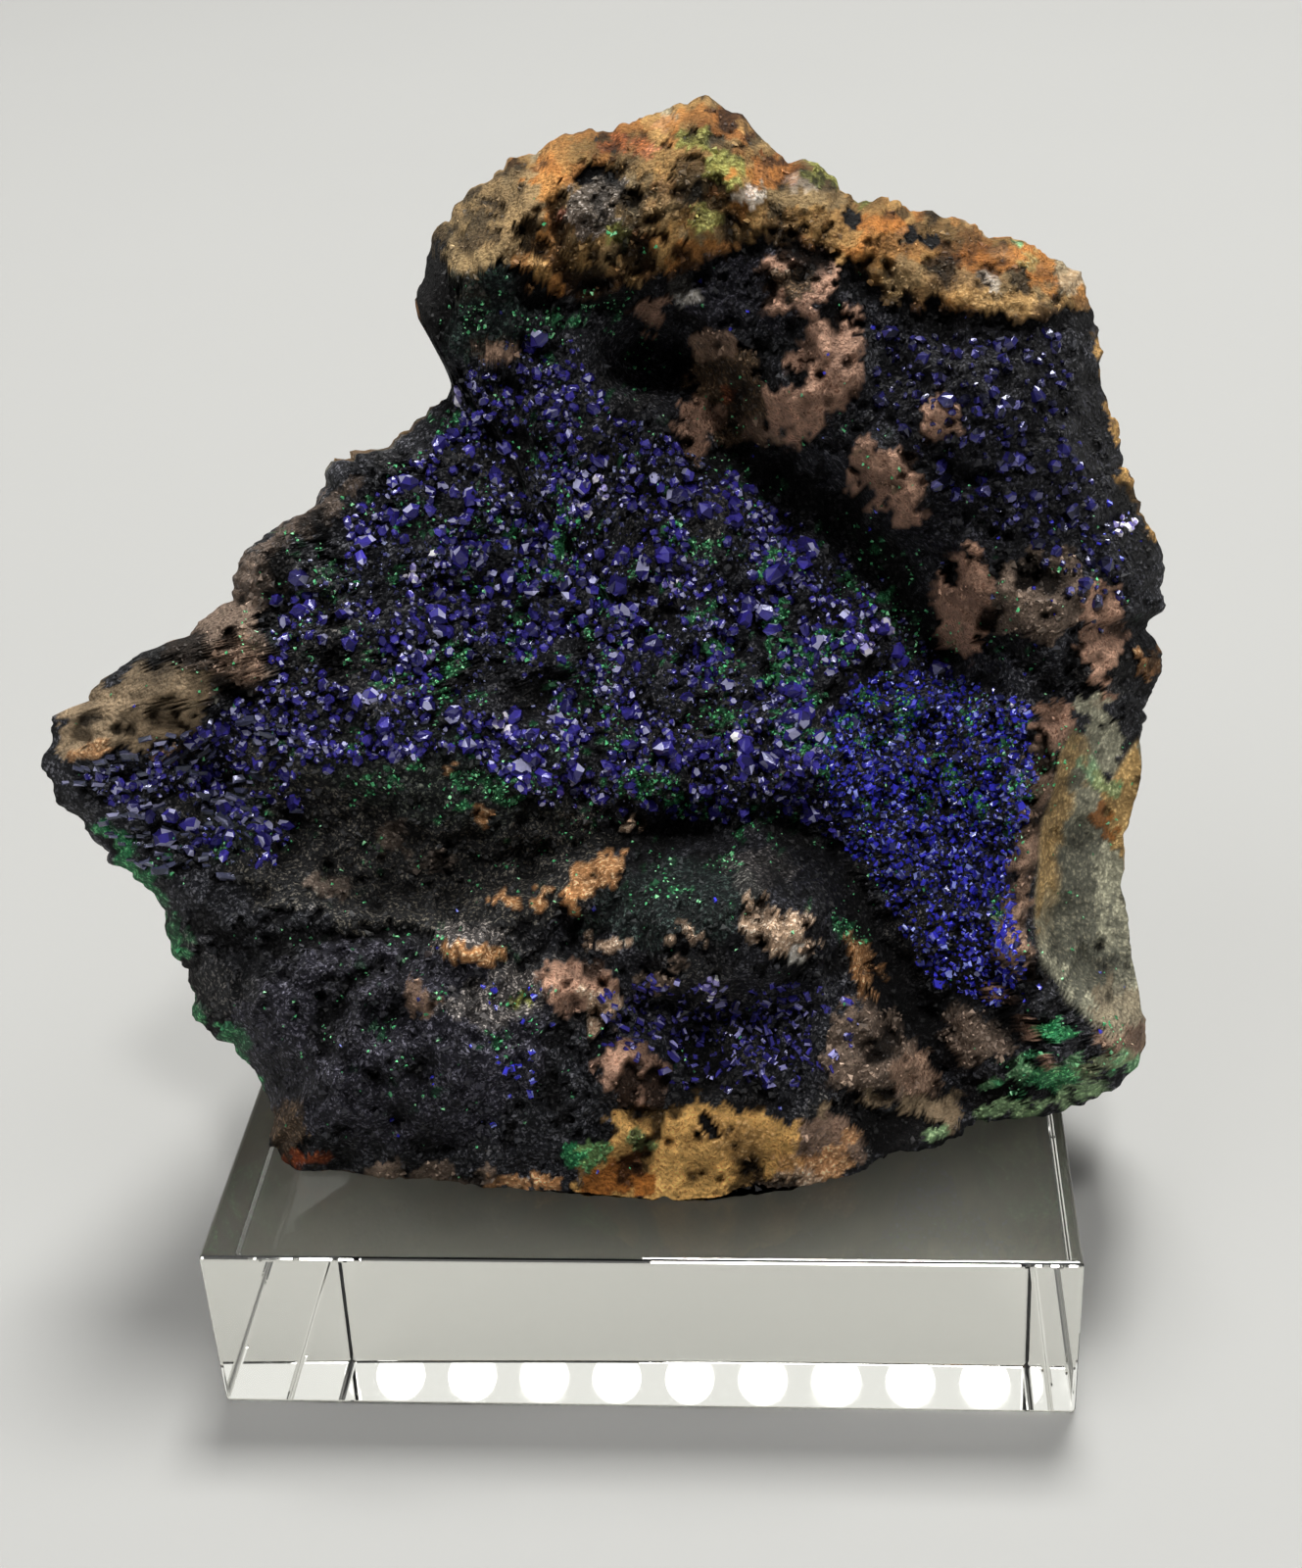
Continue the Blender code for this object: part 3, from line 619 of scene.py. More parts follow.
@dataclass(frozen=True)
class Veil:
    """A mineral that shows where noise is high."""

    mineral: Mineral
    strength: float
    low: float                  # noise at which it begins to show
    high: float                 # noise at which it shows in full
    noise: Noise
    sign: int = 1               # -1: it shows where the noise is low
    stretch: tuple[float, float, float] = (1.0, 1.0, 1.0)
    shape: Callable[[Noise, Array], Array] = Noise.fractal

    def lay(self, cover: "Cover", points: Array, within: Array | float = 1.0) -> None:
        """Lay the mineral by the noise at the points, as far as within lets it."""
        level = self.sign * self.shape(self.noise, points * self.stretch)
        cover.lay(self.mineral, self.strength * within * smooth_step(self.low, self.high, level))


CAP_COARSE, CAP_FINE = Noise(3.6, 331), Noise(1.1, 341)
BACK_COARSE, BACK_FINE = Noise(9.0, 401, 4), Noise(6.0, 433, 4)
FACE_VEIL = Veil(Mineral.DARK_BROWN, 0.5, 0.1, 0.4, Noise(4.5, 233))
CAP_VEILS = (
    Veil(Mineral.LIMONITE_GREY, 0.8, 0.05, 0.3, CAP_COARSE),
    Veil(Mineral.ORANGE, 0.45, 0.22, 0.45, CAP_COARSE, -1),
    Veil(Mineral.GREY_OLIVE, 0.6, 0.25, 0.4, CAP_FINE),
    # Near-black veil where the noise is high: painted shade in the cap's cavities.
    Veil(Mineral.DARK, 0.65, 0.30, 0.36, Noise(2.2, 367), 1, (0.6, 0.8, 1.0)),
    Veil(Mineral.ORANGE, 0.6, 0.46, 0.62, Noise(2.6, 379, 2), 1, (0.7, 0.7, 1.5), Noise.ridged),
)
# Near-black specks: painted shade in small pits of the cap.
CAP_SPECKS = Veil(Mineral.DARK, 0.75, 0.40, 0.46, Noise(1.0, 373, 2))
BACK_VEILS = (
    Veil(Mineral.GREY_OLIVE, 0.9, 0.0, 0.25, BACK_COARSE),
    Veil(Mineral.UMBER, 0.9, 0.05, 0.3, BACK_FINE),
    Veil(Mineral.BLACK, 0.9, 0.18, 0.34, BACK_COARSE, -1),
    Veil(Mineral.ORANGE, 0.7, 0.25, 0.45, BACK_FINE, -1),
    Veil(Mineral.MALACHITE, 0.6, 0.38, 0.55, Noise(1.9, 467, 4)),
)


@dataclass(frozen=True)
class Seam:
    """A line on the face along which one mineral shows."""

    mineral: Mineral
    line: Line
    half_width: float
    rough: float = 0.8          # how far the roughness widens or narrows it
    soft: float = 0.6           # width of its edge
    strength: float = 0.9

    def lay(self, cover: "Cover", across: Array, up: Array, rough: Array) -> None:
        """Lay the mineral where the line is nearer than the half width."""
        distance, _ = line_distance(across, up, self.line)
        inside = self.half_width + self.rough * rough - distance
        cover.lay(self.mineral, self.strength * smooth_step(0.0, self.soft, inside))


# Painted shade: near-black lines along the gullies.
GULLIES = tuple(Seam(Mineral.DARK, line, half_width) for half_width, line in (
    (1.3, ((2, 24.7), (5.5, 18.9), (10.6, 16.1), (14.7, 11.5), (17, 7.2))),
    (1.5, ((7.5, -2.4), (10.8, -4.8), (12.2, -8.5), (14.2, -11.5), (15.8, -14.5), (16.4, -17))),
    (0.7, ((-4, -3.6), (0.5, -3.4), (5, -2.4))),
    (0.9, ((-27, -8.6), (-20, -9.6), (-14, -8.8), (-9.5, -6.8))),
    (0.9, ((-21, 0.3), (-17.5, 0.3))), (0.7, ((6.5, 30.9), (10.8, 30), (13.4, 28))),
    (0.4, ((-3, -8), (-8, -9))), (0.5, ((-1.6, -18.4), (5.6, -18.2))),
    (0.5, ((10.2, 12.6), (14, 20.6))), (0.8, ((-6.4, -15), (-5.4, -19))),
))
RIMS = (
    Seam(Mineral.TAN_DIM, (
        (23.4, 1.6), (22.4, -2), (21.7, -5.4), (21.5, -8.5), (22, -11),
    ), 0.85, 0.5, 0.3, 1.0),
    Seam(Mineral.MALACHITE, (
        (-32.1, -2.6), (-29.5, -6), (-27.9, -9.8), (-26.7, -13.2), (-24.4, -15.5), (-22.8, -17.8),
    ), 0.65, 0.6, 0.4, 0.8),
    Seam(Mineral.OCHRE, (
        (26.2, 27), (27, 24.5), (26.7, 22.5), (28, 19.5), (29, 16.8), (29.9, 14.2),
    ), 0.6, 0.6, 0.3, 0.85),
)
SLAB_BORDER = (
    (24.7, 3.4), (23.9, 1.9), (22.9, -1.7), (22.5, -3.5), (22.4, -7.5), (22.8, -10.6), (24.5, -12.9),
    (27, -15.2), (31, -17), (32, -3), (31, 2.8), (28.4, 2.8), (26.8, 0.2), (25.7, 2.9),
)


# ---- the rock's form

@dataclass(frozen=True)
class Face:
    """The rock's leaning face as a flat frame."""

    origin: tuple[float, float, float] = (0.74, -6.90, 31.76)
    turn: float = math.radians(5.56)
    lean: float = math.radians(29.51)
    roll: float = math.radians(-3.26)
    fan_distance: float = 130.0

    def axes(self) -> tuple[Array, Array, Array]:
        """Unit vectors across the face, up it and inward.

        Returns:
            The three, in that order.
        """
        inward = np.array((
            -math.sin(self.turn) * math.cos(self.lean),
            math.cos(self.turn) * math.cos(self.lean),
            -math.sin(self.lean),
        ))
        level = np.array((math.cos(self.turn), math.sin(self.turn), 0.0))
        upright = np.cross(level, inward)
        across = math.cos(self.roll) * level + math.sin(self.roll) * upright
        up = math.cos(self.roll) * upright - math.sin(self.roll) * level
        return across, up, inward

    def fan_point(self) -> Array:
        """The point that the relief's lines fan out from."""
        return np.array(self.origin) - self.fan_distance * self.axes()[2]

    def place(self, across: Array, up: Array, relief: Array) -> Array:
        """World points: the flat place, moved along its line from the fan point by the relief.

        Args:
            across: places across the face.
            up: places up the face.
            relief: millimetres outward.

        Returns:
            The points, as rows.
        """
        axis_across, axis_up, _ = self.axes()
        flat = np.array(self.origin) + across[:, None] * axis_across + up[:, None] * axis_up
        reach = 1.0 - relief / self.fan_distance
        return self.fan_point() + (flat - self.fan_point()) * reach[:, None]


@dataclass(frozen=True)
class Ridge:
    """A ridge (height above 0) or gully along a line on the face."""

    line: Line
    half_width: float
    height: float

    def relief(self, across: Array, up: Array) -> Array:
        """Height times the exponential of minus the squared distance over the half width."""
        distance, _ = line_distance(across, up, self.line)
        return self.height * np.exp(-(distance / self.half_width) ** 2)


OUTLINE = (
    (-15.2, 19.8), (-12, 22.7), (-11.7, 23.4), (-12.4, 25.3), (-13.7, 27.3), (-13.9, 28.6), (-13.3, 30.1),
    (-12.8, 32.1), (-11.2, 33.9), (-8.9, 35.7), (-5, 38.2), (-1.4, 38.3), (2, 39.9), (3.3, 40.1),
    (5.3, 39.3), (7.5, 36.9), (10.5, 35.7), (11.9, 34.3), (15.8, 33.6), (17.8, 33.3), (20.4, 31.6),
    (22.4, 31.6), (25.2, 30), (25.5, 28.1), (26.5, 25.3), (26.1, 23.2), (27.4, 20.1), (28.3, 16.9),
    (29.8, 14.6), (29.6, 11.5), (30, 10.3), (29, 9.5), (29.8, 6.9), (28.6, 3.4), (28.7, 0.3), (27.7, -2.9),
    (27.5, -6), (28.2, -10.3), (28.8, -13.8), (28.6, -16.5), (26.3, -18.3), (23.6, -19.2), (19.3, -19.8),
    (16.4, -21.1), (13.5, -22), (10.6, -23), (7.8, -24.1), (2.9, -24.7), (-1.4, -24.1), (-9.4, -24.1),
    (-15.2, -23), (-20.9, -23), (-22.4, -21), (-22.1, -19.5), (-23.1, -17.1), (-24.7, -15.2),
    (-26.9, -13.9), (-26.8, -12.3), (-28.7, -7.5), (-30, -5.2), (-31.4, -4.5), (-34.7, -0.5), (-35.7, 1.1),
    (-34.7, 4), (-32.7, 5.1), (-30.1, 7.7), (-27.2, 8.6), (-24.7, 10.9), (-23.8, 13.6), (-19.5, 16.5),
    (-18.3, 18.7),
)

RIM_RELIEF = (
    (-180, -3), (-172, -2.5), (-150, -5), (-135, -4.5), (-110, -1), (-90, 1.3), (-72, 0.5), (-55, -2.5),
    (-40, -3), (-25, -6.5), (0, -6.5), (30, -5), (50, -3.5), (75, -4.5), (100, -4.5), (118, -4), (128, -5),
    (150, -3.5), (168, -4),
)

LUMPS = ovals(
    (1.5, 8.5, 20, 11, -22, -5),  # main druse hollow
    (-0.3, 25, 2.8, 2.4, 0, -4.5, 1.5),  # deep hole under the cap
    (9, 29.3, 3, 2.2, 0, 2.6, 1.5),  # tan shelf, high
    (9.4, 24, 3, 4.5, -8, 3, 1.5),  # tan shelf, middle
    (3.4, 21.8, 4, 2.4, 15, 1.8, 1.4),  # tan shelf, low
    (19.5, 21.5, 6.5, 6.5, -30, 3.6, 1.6),  # upper right shoulder
    (13.4, 17.6, 1.8, 3.4, 30, 2.2, 1.5),  # tan knob at the gully
    (19.6, 11.2, 3.6, 3.6, -40, 2.6, 1.5),  # tan mass with a hole
    (17.9, 12.8, 0.9, 0.9, 0, -1.6, 1.5),  # hole in the tan mass
    (24.6, 7.6, 2.4, 5, 10, 1.6, 1.4),  # right tan shoulder
    (16.4, -3, 5.5, 8.5, 12, -4.2, 1.2),  # right bowl
    (4.8, -8, 7, 4.2, 14, 5.4, 1.4),  # lower lump
    (6.8, -4.3, 2.2, 1.8, 20, 1.6, 1.2),  # peak of the lower lump
    (8.6, -9.6, 2.6, 1.6, -30, 1.2, 1.4),  # tan patch on the lower lump
    (4.6, -14, 6.5, 2, 0, -1.8, 1.5),  # hollow under the lower lump
    (2.8, -21, 6, 2.4, 4, 2.8, 1.5),  # ochre foot
    (-14.5, -15.5, 9.5, 6, -8, 4.4, 1.4),  # lower left mass
    (-4.6, -12.6, 2.4, 2.4, 0, 1.4, 1.4),  # tan knob of the lower left mass
    (-1.2, -16.8, 2.4, 1.8, 0, 1.2, 1.4),  # tan knob over the foot
    (13, -15.4, 3.4, 2.6, 0, 2.2, 1.5),  # grey tan knob, lower right
    (15.8, -19.6, 3.2, 1.1, 16, -2.2, 1.5),  # holes at the lower right
    (24, -16, 5, 2.2, 18, 2.4, 1.5),  # lower right lip
    (-27.6, 6.6, 3.6, 2.8, 20, 2.6, 1.4),  # spur lump
    (-33, 2.8, 2.2, 2, 30, 1.2, 1.4),  # spur tip
    (-10.4, 29.6, 2.6, 3.2, 15, 1.4, 1.4),  # left end of the cap
    (3, 36.8, 3.4, 2.4, 0, 1.2, 1.3),  # cap crown
    (-3, 35.6, 2.2, 1, 5, -1.8, 1.6),  # cap pit, top
    (-6.8, 31.8, 1.5, 1.1, 10, -1.6, 1.6),  # cap pit, left
    (-3.9, 30, 1.8, 0.9, -10, -1.6, 1.6),  # cap pit, middle
    (16.6, 31.6, 1.8, 1, 0, -1.6, 1.6),  # cap pit, right
)

RIDGES = (
    Ridge(((-0.3, 25.3), (5.5, 19.6), (10.6, 16.2), (14.7, 12.0), (17.2, 7.6)), 2.6, -6.5),
    Ridge(((2.0, -2.9), (9.5, -3.4), (12.9, -7.5), (14.7, -12.1), (16.4, -16.6)), 2.3, -6.0),
    Ridge(((-24.9, 0.0), (-19.2, -2.9), (-12.3, -5.7), (-3.7, -3.4)), 3.6, -4.6),
    Ridge(((-11.7, -9.5), (-7.7, -7.5), (-2.0, -5.2)), 1.5, 2.8),
    Ridge(((-18.1, 18.4), (-22.6, 13.2), (-24.4, 10.3)), 1.8, 1.6),
    Ridge(((22.6, 2.9), (21.8, -1.7), (21.2, -7.5), (22.6, -12.6)), 1.3, 2.6),
)

CAP_EDGE = (
    (-18, 24), (-13.5, 26.1), (-10.6, 28.1), (-7.1, 29), (-2.6, 28.7), (2, 30.4), (6.6, 31.9),
    (11.2, 30.9), (13.8, 28.7), (19.3, 27.3), (25.6, 27.7), (31, 28),
)
SLAB_EDGE = (
    (34, 10.5), (27.4, 6.6), (24.4, 3.6), (22.9, -1.7), (22.2, -7.5), (23.4, -12.2), (27.9, -14.4),
    (34, -15.5),
)

BREAKS = (
    ((0.06, 0.99, 0.10), 20.5),
    ((-0.72, 0.66, 0.20), 22.5),
    ((0.74, 0.66, -0.10), 24.0),
    ((0.12, 0.72, 0.68), 27.5),
    ((-0.50, 0.30, -0.80), 24.5),
    ((-0.90, 0.42, -0.10), 27.5),
)

MAIN_CRUST = (
    (-11, 26.2), (-4.8, 26.4), (-2.6, 22.2), (4.3, 18.4), (9.8, 14.8), (14, 10.4), (18, 6.2), (22, 4.6),
    (22.4, 0), (20.8, -5.7), (21.8, -11.3), (17, -12.6), (14, -5.7), (9.5, -2.2), (2, -2), (-6, -1.2),
    (-10.6, 1.6), (-18.6, 1.2), (-22.4, -5), (-29, -3.6), (-33.2, 0.4), (-26.4, 3.4), (-22.4, 6.3),
    (-22, 11), (-17.4, 16), (-11.2, 21.2),
)
UPPER_CRUST = (
    (12.6, 26.6), (24.2, 26.6), (24.8, 22.6), (25.6, 18.4), (27.2, 14.4), (27.6, 10.4), (26.2, 8.6),
    (24, 12), (20.4, 14.8), (15.6, 18.4), (12.8, 22.4),
)
LOWER_CRUST = (
    (-2.8, -11.2), (4.3, -11.6), (12.2, -11.8), (12, -15.4), (9.4, -17.8), (2.4, -18.2), (-3.2, -16.4),
)
BOWL = (
    (12.5, 6.5), (18, 6.4), (22.2, 4.8), (22.6, 0), (21, -5.7), (22, -11.3), (20, -13.2), (16.4, -11.6),
    (13.8, -7), (11.2, -3.4), (9.8, 0.4), (10.4, 3.8),
)
LEFT_FACE = (
    (-34.8, 0.6), (-30, 2.6), (-25, 4), (-20.5, 3.4), (-20, -0.5), (-22.5, -5.2), (-27.5, -6),
    (-30.5, -4.4),
)


@dataclass(frozen=True)
class RockForm:
    """The rock's surface as functions of a place on the face or of a ring and an angle."""

    face: Face = Face()
    centre: tuple[float, float] = (0.9, 5.7)
    rounding: int = 13
    cap_height: float = 3.8
    cap_edge_width: float = 0.7
    slab_fall: float = 1.15
    slab_angles: tuple[float, float] = (-0.68, -0.16)    # where the outline is the slab's
    roughness: tuple[tuple[float, float], ...] = ((5.0, 1.0), (2.2, 0.7))
    rough_seed: int = 11
    evenness: float = 0.5           # share of the roughness that is missing under crystals
    back_centre: tuple[float, float, float] = (0.0, 4.0, 36.0)
    back_depth: float = 36.0
    squareness: float = 2.5
    floor: float = 11.36            # the lowest the rock reaches: it stands on the block
    nibbles: tuple[tuple[float, float], ...] = ((2.2, 0.22), (0.9, 0.11), (0.4, 0.06))
    nibble_seed: int = 71

    def coarse_noise(self, points: Array) -> Array:
        """Sum of the roughness layers.

        Args:
            points: places, as rows.

        Returns:
            The sum at each place.
        """
        return sum(
            height * Noise(cell, self.rough_seed + layer).smooth(points)
            for layer, (cell, height) in enumerate(self.roughness)
        )

    def radius(self, angle: Array) -> Array:
        """Distance from the outline's centre to the outline.

        Formula: drawn out by angle between the outline's points, less small nibbles from noise
        that is taken at the outline itself.

        Args:
            angle: directions from the centre.

        Returns:
            The distance in each direction.
        """
        points = np.array(OUTLINE) - self.centre
        angles = np.arctan2(points[:, 1], points[:, 0])
        order = np.argsort(angles)
        smooth = np.interp(angle, angles[order], np.hypot(*points.T)[order], period=FULL_TURN)
        rim = np.column_stack((smooth * np.cos(angle), smooth * np.sin(angle), np.zeros(len(angle))))
        low, high = self.slab_angles
        calm = smooth_step(low - 0.1, low, angle) * smooth_step(high + 0.1, high, angle)
        for layer, (cell, height) in enumerate(self.nibbles):
            nibble = height * (1.0 - 3.0 * np.abs(Noise(cell, self.nibble_seed + layer).smooth(rim)))
            smooth = smooth - nibble * (1.0 - 0.75 * calm)
        return smooth

    def rim(self, angle: Array) -> Array:
        """Relief of the outline, between the table's angles."""
        degrees, relief = np.array(RIM_RELIEF).T
        return np.interp(angle, np.radians(degrees), relief, period=FULL_TURN)

    def cover(self, across: Array, up: Array) -> Array:
        """1 well inside the crystal crusts and 0 outside them."""
        depths = [border_depth(across, up, border) for border in (MAIN_CRUST, UPPER_CRUST, LOWER_CRUST)]
        return np.clip(np.max(depths, axis=0), 0.0, 1.0)

    def face_relief(self, across: Array, up: Array) -> Array:
        """Relief of the face: cap step, lumps, ridges and the slab that falls away.

        Args:
            across: places across the face.
            up: places up the face.

        Returns:
            Millimetres outward at each place.
        """
        distance, side = line_distance(across, up, CAP_EDGE)
        relief = self.cap_height / (1.0 + np.exp(-side * distance / self.cap_edge_width))
        relief += sum(form.relief(across, up) for form in (*LUMPS, *RIDGES))
        distance, side = line_distance(across, up, SLAB_EDGE)
        return relief - self.slab_fall * np.where(side > 0, distance, 0.0)

    def reach(self, across: Array, up: Array) -> tuple[Array, Array]:
        """How far out a place lies, as a share of the way to the outline, and its angle."""
        off_a, off_u = across - self.centre[0], up - self.centre[1]
        angle = np.arctan2(off_u, off_a)
        return np.hypot(off_a, off_u) / self.radius(angle), angle

    def front(self, across: Array, up: Array, fine: Array | float = 0.0) -> Array:
        """World points of the face.

        Formula: the relief is the face's, with its noise, faded to the outline's relief by one
        minus the reach to a high power.

        Args:
            across: places across the face.
            up: places up the face.
            fine: extra relief, such as the minerals' own grain.

        Returns:
            The points, as rows.
        """
        reach, angle = self.reach(across, up)
        rim = self.rim(angle)
        flat = self.face.place(across, up, np.zeros(len(across)))
        even = 1.0 - self.evenness * self.cover(across, up)
        relief = self.face_relief(across, up) + self.coarse_noise(flat) * even + fine
        fade = 1.0 - np.clip(reach, 0.0, 1.0) ** self.rounding
        points = self.face.place(across, up, rim + (relief - rim) * fade)
        points[:, 2] = np.maximum(points[:, 2], self.floor)
        return points

    def back(self, swing: Array, angle: Array, fine: Array | float = 0.0) -> Array:
        """World points of the hidden sides and back.

        Formula: a squarish dome behind the outline, whose width is the cosine and depth the sine
        of the swing, each to a power, then cut back to a few broken planes and roughened.

        Args:
            swing: 0 at the outline and a quarter turn at the middle of the back.
            angle: direction about the outline's centre.
            fine: extra swelling.

        Returns:
            The points, as rows.
        """
        narrow = np.cos(swing) ** (2.0 / self.squareness)
        deep = np.sin(swing) ** (2.0 / self.squareness)
        out = narrow * self.radius(angle)
        relief = self.rim(angle) * narrow - self.back_depth * deep
        points = self.face.place(
            self.centre[0] + out * np.cos(angle), self.centre[1] + out * np.sin(angle), relief,
        )
        centre = np.array(self.back_centre)
        for direction, distance in BREAKS:
            normal = np.array(direction) / np.linalg.norm(direction)
            over = np.maximum((points - centre) @ normal - distance, 0.0)
            points -= over[:, None] * normal
        outward = points - centre
        outward /= np.linalg.norm(outward, axis=1)[:, None]
        fade = 1.0 - (1.0 - swing / (math.pi / 2.0)) ** 4
        points += outward * ((self.coarse_noise(points) + fine) * fade)[:, None]
        points[:, 2] = np.maximum(points[:, 2], self.floor)
        return points

    def slope(self, across: Array, up: Array, step: float = 0.5) -> Array:
        """Outward unit normals of the face, from points a step apart each way.

        Args:
            across: places across the face.
            up: places up the face.
            step: millimetres to the points that it is taken from.

        Returns:
            The normals, as rows.
        """
        right = self.front(across + step, up) - self.front(across - step, up)
        above = self.front(across, up + step) - self.front(across, up - step)
        normal = np.cross(right, above)
        return normal / np.maximum(np.linalg.norm(normal, axis=1), 1e-9)[:, None]


# ---- what shows where

CHANNELS = {
    "tint": slice(0, 3), "fleck": slice(3, 6), "crumble": 6, "pits": 7, "gloss": 8, "raised": 9,
}
COLOURS = slice(0, 6)


@dataclass(frozen=True)
class Cover:
    """What the surface is made of: a row of ten numbers, a look's, for each of some points."""

    rows: Array

    @staticmethod
    def plain(count: int, mineral: Mineral) -> "Cover":
        """One mineral all over."""
        return Cover(np.tile(mineral.value.row(), (count, 1)))

    def part(self, name: str) -> Array:
        """One channel of every row."""
        return self.rows[:, CHANNELS[name]]

    def lay(self, mineral: Mineral, weight: Array) -> None:
        """Lay a mineral over what is there, by weight."""
        self.blend(mineral.value.row(), weight)

    def blend(self, other: Array, share: Array) -> None:
        """Move the rows towards others by a share."""
        self.rows[:] += (other - self.rows) * share[:, None]

    def shade(self, factor: Array) -> None:
        """Make the colours lighter or darker."""
        self.rows[:, COLOURS] *= factor[:, None]


@dataclass(frozen=True)
class MineralMap:
    """Lays the minerals out on the face and on the hidden sides."""

    face: Face = Face()
    grains: tuple[tuple[float, float], ...] = ((0.42, 1.0), (1.1, 0.6))    # size, share of the way
    grain_seed: int = 261
    wander: tuple[tuple[float, float], ...] = ((3.2, 0.55), (1.3, 0.35))   # cell, height
    wander_seeds: tuple[int, int] = (201, 221)      # across and up
    fine_rough: Noise = Noise(1.1, 241, 4)
    coarse_rough: Noise = Noise(2.4, 251, 2)
    edge: float = 0.06              # softness of a patch's edge
    ragged: float = 0.58            # how far a patch's edge breaks up, in millimetres
    contrast: float = 0.45          # between the lightness of neighbouring grains
    slab_calm: float = 0.7          # share of that contrast that the slab lacks

    def gather(self, points: Array) -> tuple[Array, Array]:
        """Move points to the middles of the grains they belong to, small ones and then large.

        Args:
            points: world points.

        Returns:
            The points, and a random number for the small grain of each.
        """
        labels = []
        for layer, (size, share) in enumerate(self.grains):
            _, label, way = Noise(size, self.grain_seed + 10 * layer).cells(points)
            points = points + share * way
            labels.append(label)
        return points, labels[0]

    def drift(self, points: Array, seed: int) -> Array:
        """Noise in millimetres that makes edges ragged: the wander's layers summed.

        Args:
            points: places, as rows.
            seed: picks the noise.

        Returns:
            The sum at each place.
        """
        return sum(
            height * Noise(cell, seed + layer).smooth(points)
            for layer, (cell, height) in enumerate(self.wander)
        )

    def bends(self, points: Array) -> tuple[Array, Array]:
        """The drift across the face and up it."""
        first, second = self.wander_seeds
        return self.drift(points, first), self.drift(points, second)

    def front(self, points: Array, across: Array, up: Array) -> Cover:
        """Minerals of the face: each grain of it is of one mineral.

        Args:
            points: world points, which the noise is taken at.
            across: places across the face.
            up: places up the face.

        Returns:
            The cover at each place.
        """
        cover = Cover.plain(len(across), Mineral.BLACK)
        wander = 0.35 * self.drift(points, self.wander_seeds[0])
        slab_depth = border_depth(across + wander, up + wander, SLAB_BORDER)
        mossy = MALACHITE_TUFTS.density(across, up)
        middles, own = self.gather(points)
        axis_across, axis_up, _ = self.face.axes()
        bend_across, bend_up = self.bends(middles)
        across = across + (middles - points) @ axis_across + bend_across
        up = up + (middles - points) @ axis_up + bend_up
        points = middles
        patchy = 1.2 * self.fine_rough.fractal(points) + 0.4 * self.coarse_rough.fractal(points)
        FACE_VEIL.lay(cover, points)
        # Near-black sunk patches where the noise is low: painted shade in the dips they make.
        cover.lay(Mineral.DARK, 0.8 * smooth_step(0.15, 0.45, -patchy))
        for seam in GULLIES:
            seam.lay(cover, across, up, patchy)
        self.patches(cover, FACE_PATCHES, across, up, patchy, np.ones(len(across)))
        cover.lay(Mineral.MALACHITE, 0.7 * smooth_step(0.0, 0.15, 0.62 * mossy - own))
        distance, side = line_distance(across - 0.5 * bend_across, up - 0.5 * bend_up, CAP_EDGE)
        above = distance * side
        # Painted shadow under the cap's edge: a near-black band just below it.
        cover.lay(Mineral.DARK, 0.9 * (side < 0) * smooth_step(0.0, 0.4, 1.1 + 1.2 * patchy - distance))
        for seam in RIMS:
            seam.lay(cover, across, up, patchy)
        slab = smooth_step(0.0, 0.3, slab_depth)
        cover.lay(Mineral.GREY_OLIVE, slab)
        self.patches(cover, SLAB_PATCHES, across, up, patchy, slab)
        near_edge = smooth_step(1.6, 1.0, slab_depth + 0.5 * patchy)
        cover.lay(Mineral.SLAB_OCHRE, 0.9 * (slab * near_edge * smooth_step(26.0, 24.5, across - 0.3 * up)))
        cap = smooth_step(-0.1, 0.3, above)
        self.cap(cover, cap, points, across, up)
        cover.shade(1.0 + self.contrast * (1.0 - self.slab_calm * slab) * (own - 0.5))
        return cover

    def patches(
        self, cover: Cover, patches: Sequence[tuple[Mineral, Oval]], across: Array, up: Array,
        rough: Array, within: Array,
    ) -> None:
        """Lay patches with ragged edges; each one's middle stays put, whatever the drift there.

        Args:
            cover: what is there; it is changed.
            patches: minerals and places, in the order they are laid.
            across: places across the face.
            up: places up the face.
            rough: noise that breaks up the patches' edges.
            within: 1 where they show; dark and green-black ones go over its edge.
        """
        centres = np.array([(oval.across, oval.up) for _, oval in patches]).T
        flat = self.face.place(*centres, np.zeros(len(patches)))
        for (mineral, oval), bend_across, bend_up in zip(patches, *self.bends(flat)):
            inside = 1.0 - np.hypot(*oval.offsets(across - bend_across, up - bend_up))
            inside = inside + self.ragged * rough / max(min(oval.half_width, oval.half_height), 0.7)
            where = 1.0 if mineral in (Mineral.DARK, Mineral.GREEN_BLACK) else within
            cover.lay(mineral, oval.strength * where * smooth_step(0.0, self.edge, inside))

    def cap(self, cover: Cover, cap: Array, points: Array, across: Array, up: Array) -> None:
        """Lay the ochre cap, its patches and its mottling.

        Args:
            cover: what is there; it is changed.
            cap: 1 on the cap.
            points: world points, which the noise is taken at.
            across: places across the face.
            up: places up the face.
        """
        cover.lay(Mineral.LIMONITE, cap)
        for veil in CAP_VEILS:
            veil.lay(cover, points, cap)
        self.patches(cover, CAP_PATCHES, across, up, CAP_FINE.fractal(points), cap)
        CAP_SPECKS.lay(cover, points, cap)

    def back(self, points: Array) -> Cover:
        """Minerals of the hidden sides: limonite with grey, dark and orange parts.

        Args:
            points: places, as rows.

        Returns:
            The cover at each place.
        """
        cover = Cover.plain(len(points), Mineral.LIMONITE)
        for veil in BACK_VEILS:
            veil.lay(cover, points)
        return cover


